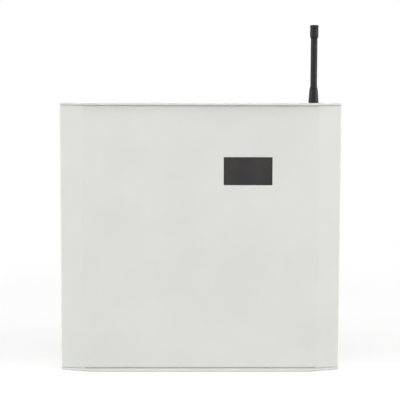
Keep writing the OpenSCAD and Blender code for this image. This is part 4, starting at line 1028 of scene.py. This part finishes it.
def inlet_sleeve():
    """Metal lining of the power inlet's barrel."""
    bm = bmesh.new()
    x, z = MAIN.spot(middle("power_inlet"))[0], MAIN.spot(BOX["power_inlet"][0])[1]
    barrel = 6.2
    turned(bm, [(2.8, 0.5), (3.1, 0.3), (3.13, 0.5), (3.13, 10.6), (2.8, 10.6)], MAIN.at(x, z, barrel))
    add_piece("inlet_sleeve", bm, "nickel")


def display_mask():
    """Black print round the display's view."""
    bm = bmesh.new()
    centre, front = middle("display_glass"), BOX["display_glass"][0].y
    outer, view, back, face = (0.0612, 0.0382), (0.045, 0.0215), front + 0.00002, front - 0.00005
    loft(bm, [[(x, y, z) for x, z in corners(centre.x, centre.z, *size)]
              for size, y in ((outer, back), (outer, face), (view, face), (view, back))], closed=True)
    add_piece("display_mask", bm, "black_plastic")


def shield_dimples():
    """Pressed dimples that hold the lid on the shield's flanks."""
    bm = bmesh.new()
    low, high = BOX["radio_shield"]
    steps, depth = 8, 0.0022
    dimple = ((0, -0.1), (0.75, -0.1), (0.7, 0.08), (0.45, 0.22), (0, 0.28))
    for i in range(steps):
        z = low.z + (high.z - low.z) * (i + 0.5) / steps
        for x, s in ((low.x, -1), (high.x, 1)):
            turned(bm, [(r, s * h) for r, h in dimple], (x, low.y + depth, z), "x", 20)
    add_piece("shield_dimples", bm, "tin_plate")


def battery_top():
    """Raised strip, its vent caps and the feet of the tabs."""
    low, high = BOX["battery"]
    strip, vents = bmesh.new(), bmesh.new()
    sunk, centre_y, half = high.z - 0.0002, high.y - 0.018, 0.008
    block(strip, (low.x + 0.036, centre_y - half, sunk), (high.x - 0.009, centre_y + half, high.z + 0.0009))
    for name in BATTERY_TABS:
        tab, foot = battery_tab(name, 0), Vector((0.0032, 0.0048, 0))
        block(strip, tab - foot + Vector((0, 0, sunk)), tab + foot + Vector((0, 0, high.z + 0.0004)))
    for i in range(6):
        vent = [(0, 0.8), (2.6, 0.8), (2.6, 1.1), (2.3, 1.3), (0, 1.35)]
        turned(vents, vent, (low.x + 0.043 + 0.0085 * i, centre_y, high.z), steps=32)
    add_piece("battery_strip", strip, "battery_case", bevel=0.00012)
    add_piece("battery_vents", vents, "battery_case")


def receptacles():
    """Insulating boots over the tabs: width, depth and height of each ring, outside and then inside."""
    section = ((3.2, 6.4, 0), (3.2, 6.4, 0.9), (3.0, 6.1, 1.1), (3.2, 6.4, 1.3), (3.2, 6.4, 7.6),
               (3.05, 6.0, 8.2), (2.9, 4.6, 9.6), (2.8, 3.2, 11), (2.7, 2.7, 12), (2.7, 2.7, 13.8),
               (2.5, 2.5, 14.0), (2.02, 2.02, 14.0), (2.0, 2.0, 11.0), (0.9, 4.9, 6.4), (0.9, 4.9, 0))
    for name in BATTERY_TABS:
        foot = battery_tab(name, BOX["lead_receptacles"][0].z)
        bm = bmesh.new()
        loft(bm, [[foot + shift(x, y, h) for x, y in rounded(0, 0, w, l, 0.49 * min(w, l))]
                  for w, l, h in section], closed=True)
        add_piece(f"receptacle_{name}", bm, f"{name}_insulation", instead=["lead_receptacles"])


def coax_ferrules():
    """Crimped ferrules at both ends of the coaxial lead."""
    bm = bmesh.new()
    start, end = coax_ends()
    ferrule = [(1.31, 0), (1.75, 0), (1.8, 0.2), (1.8, 3.4), (1.6, 3.9), (1.31, 3.9)]
    turned(bm, ferrule, start, steps=36)
    turned(bm, [(r, -h) for r, h in ferrule], end, steps=36)
    add_piece("coax_ferrules", bm, "gold_brass")


# Stage and light

WHITE = (1, 1, 1, 1)
AMBIENT = 0.217
# Each lamp: place, size and watts.
LAMPS = {
    "front": ((0, -2.4, 0.28), (2.6, 0.5), 8.6),
    "overhead": ((0, -1.1, 2.1), (2.4, 1.4), 15),
    "left": ((-2.2, -0.75, 0.3), (1.2, 1.2), 29.5),
    "right": ((2.2, -0.75, 0.3), (1.2, 1.2), 30.8),
    "top": ((0, 0.25, 2.2), (1.6, 1.2), 8),
    "back": ((0.3, 2.3, 0.1), (1.6, 1.2), 32),
}


def paper():
    """Matt paper that glows a little near the object and is plain white beyond it."""
    near, far, near_glow, grey = 0.35, 0.8, 0.35, (0.8, 0.8, 0.8, 1)
    material = bpy.data.materials.new("floor")
    material.use_nodes = True
    n = Nodes(material.node_tree)
    n.tree.nodes.clear()
    matt = n.node("ShaderNodeBsdfDiffuse", Color=grey).outputs[0]
    glow = n.node("ShaderNodeEmission", Strength=near_glow).outputs[0]
    white = n.node("ShaderNodeEmission", Color=WHITE).outputs[0]
    lit = n.node("ShaderNodeAddShader", matt, glow).outputs[0]
    length = n.node("ShaderNodeVectorMath", n.node("ShaderNodeTexCoord").outputs["Object"])
    length.operation = "LENGTH"
    fade = n.node("ShaderNodeMapRange", length.outputs["Value"], near, far)
    fade.interpolation_type = "SMOOTHSTEP"
    seen = n.node("ShaderNodeMixShader", fade.outputs[0], lit, white).outputs[0]
    final = n.node("ShaderNodeMixShader", n.seen_directly(), matt, seen).outputs[0]
    n.node("ShaderNodeOutputMaterial", Surface=final)
    return material


def floor():
    size, gap = 30.0, 0.0002
    bm = bmesh.new()
    bmesh.ops.create_grid(bm, x_segments=1, y_segments=1, size=size)
    obj = new_object("floor", bm)
    obj.location.z = cad_box[0].z - gap
    obj.data.materials.append(paper())


def world():
    """White where it is seen directly, dim as a light."""
    sky = bpy.data.worlds.new("world")
    bpy.context.scene.world = sky
    sky.use_nodes = True
    n = Nodes(sky.node_tree)
    n.tree.nodes.clear()
    strength = n.node("ShaderNodeMapRange", n.seen_directly(), 0, 1, AMBIENT, 1).outputs[0]
    back = n.node("ShaderNodeBackground", Color=WHITE, Strength=strength).outputs[0]
    n.node("ShaderNodeOutputWorld", Surface=back)


def lamp(name, place, size, watts):
    """Soft rectangular lamp aimed at the object."""
    data = bpy.data.lights.new(name, "AREA")
    data.shape, data.energy = "RECTANGLE", watts
    data.size, data.size_y = size
    obj = bpy.data.objects.new(name, data)
    obj.location = place
    obj.rotation_mode = "QUATERNION"
    obj.rotation_quaternion = (-Vector(place)).to_track_quat("-Z", "Y")
    obj.visible_camera = False
    bpy.context.scene.collection.objects.link(obj)


# Build

CASE_EDGE, PART_EDGE = 0.00012, 0.0001

place_camera()
MATERIALS = make_materials()
for part in frame["record"]["subparts"]:
    node = NODES[part["node"]]
    node.data.materials.clear()
    node.data.materials.append(MATERIALS[part["material_slot"]])
for name, node in NODES.items():
    smoothed(node, CASE_EDGE if name in ("base_chassis", "front_cover") else PART_EDGE, weld=True)

antenna()
coax_lead()
battery_leads()
ribbon()
foams()
chips()
capacitors()
regulator()
fuse()
main_surface()
screen_surface()
radio_surface()
keys()
terminal_clamps()
socket_contacts()
inlet_sleeve()
display_mask()
shield_dimples()
battery_top()
receptacles()
coax_ferrules()

bpy.context.scene.view_settings.view_transform = "Standard"
floor()
world()
for name, (place, size, watts) in LAMPS.items():
    lamp(name, place, size, watts)
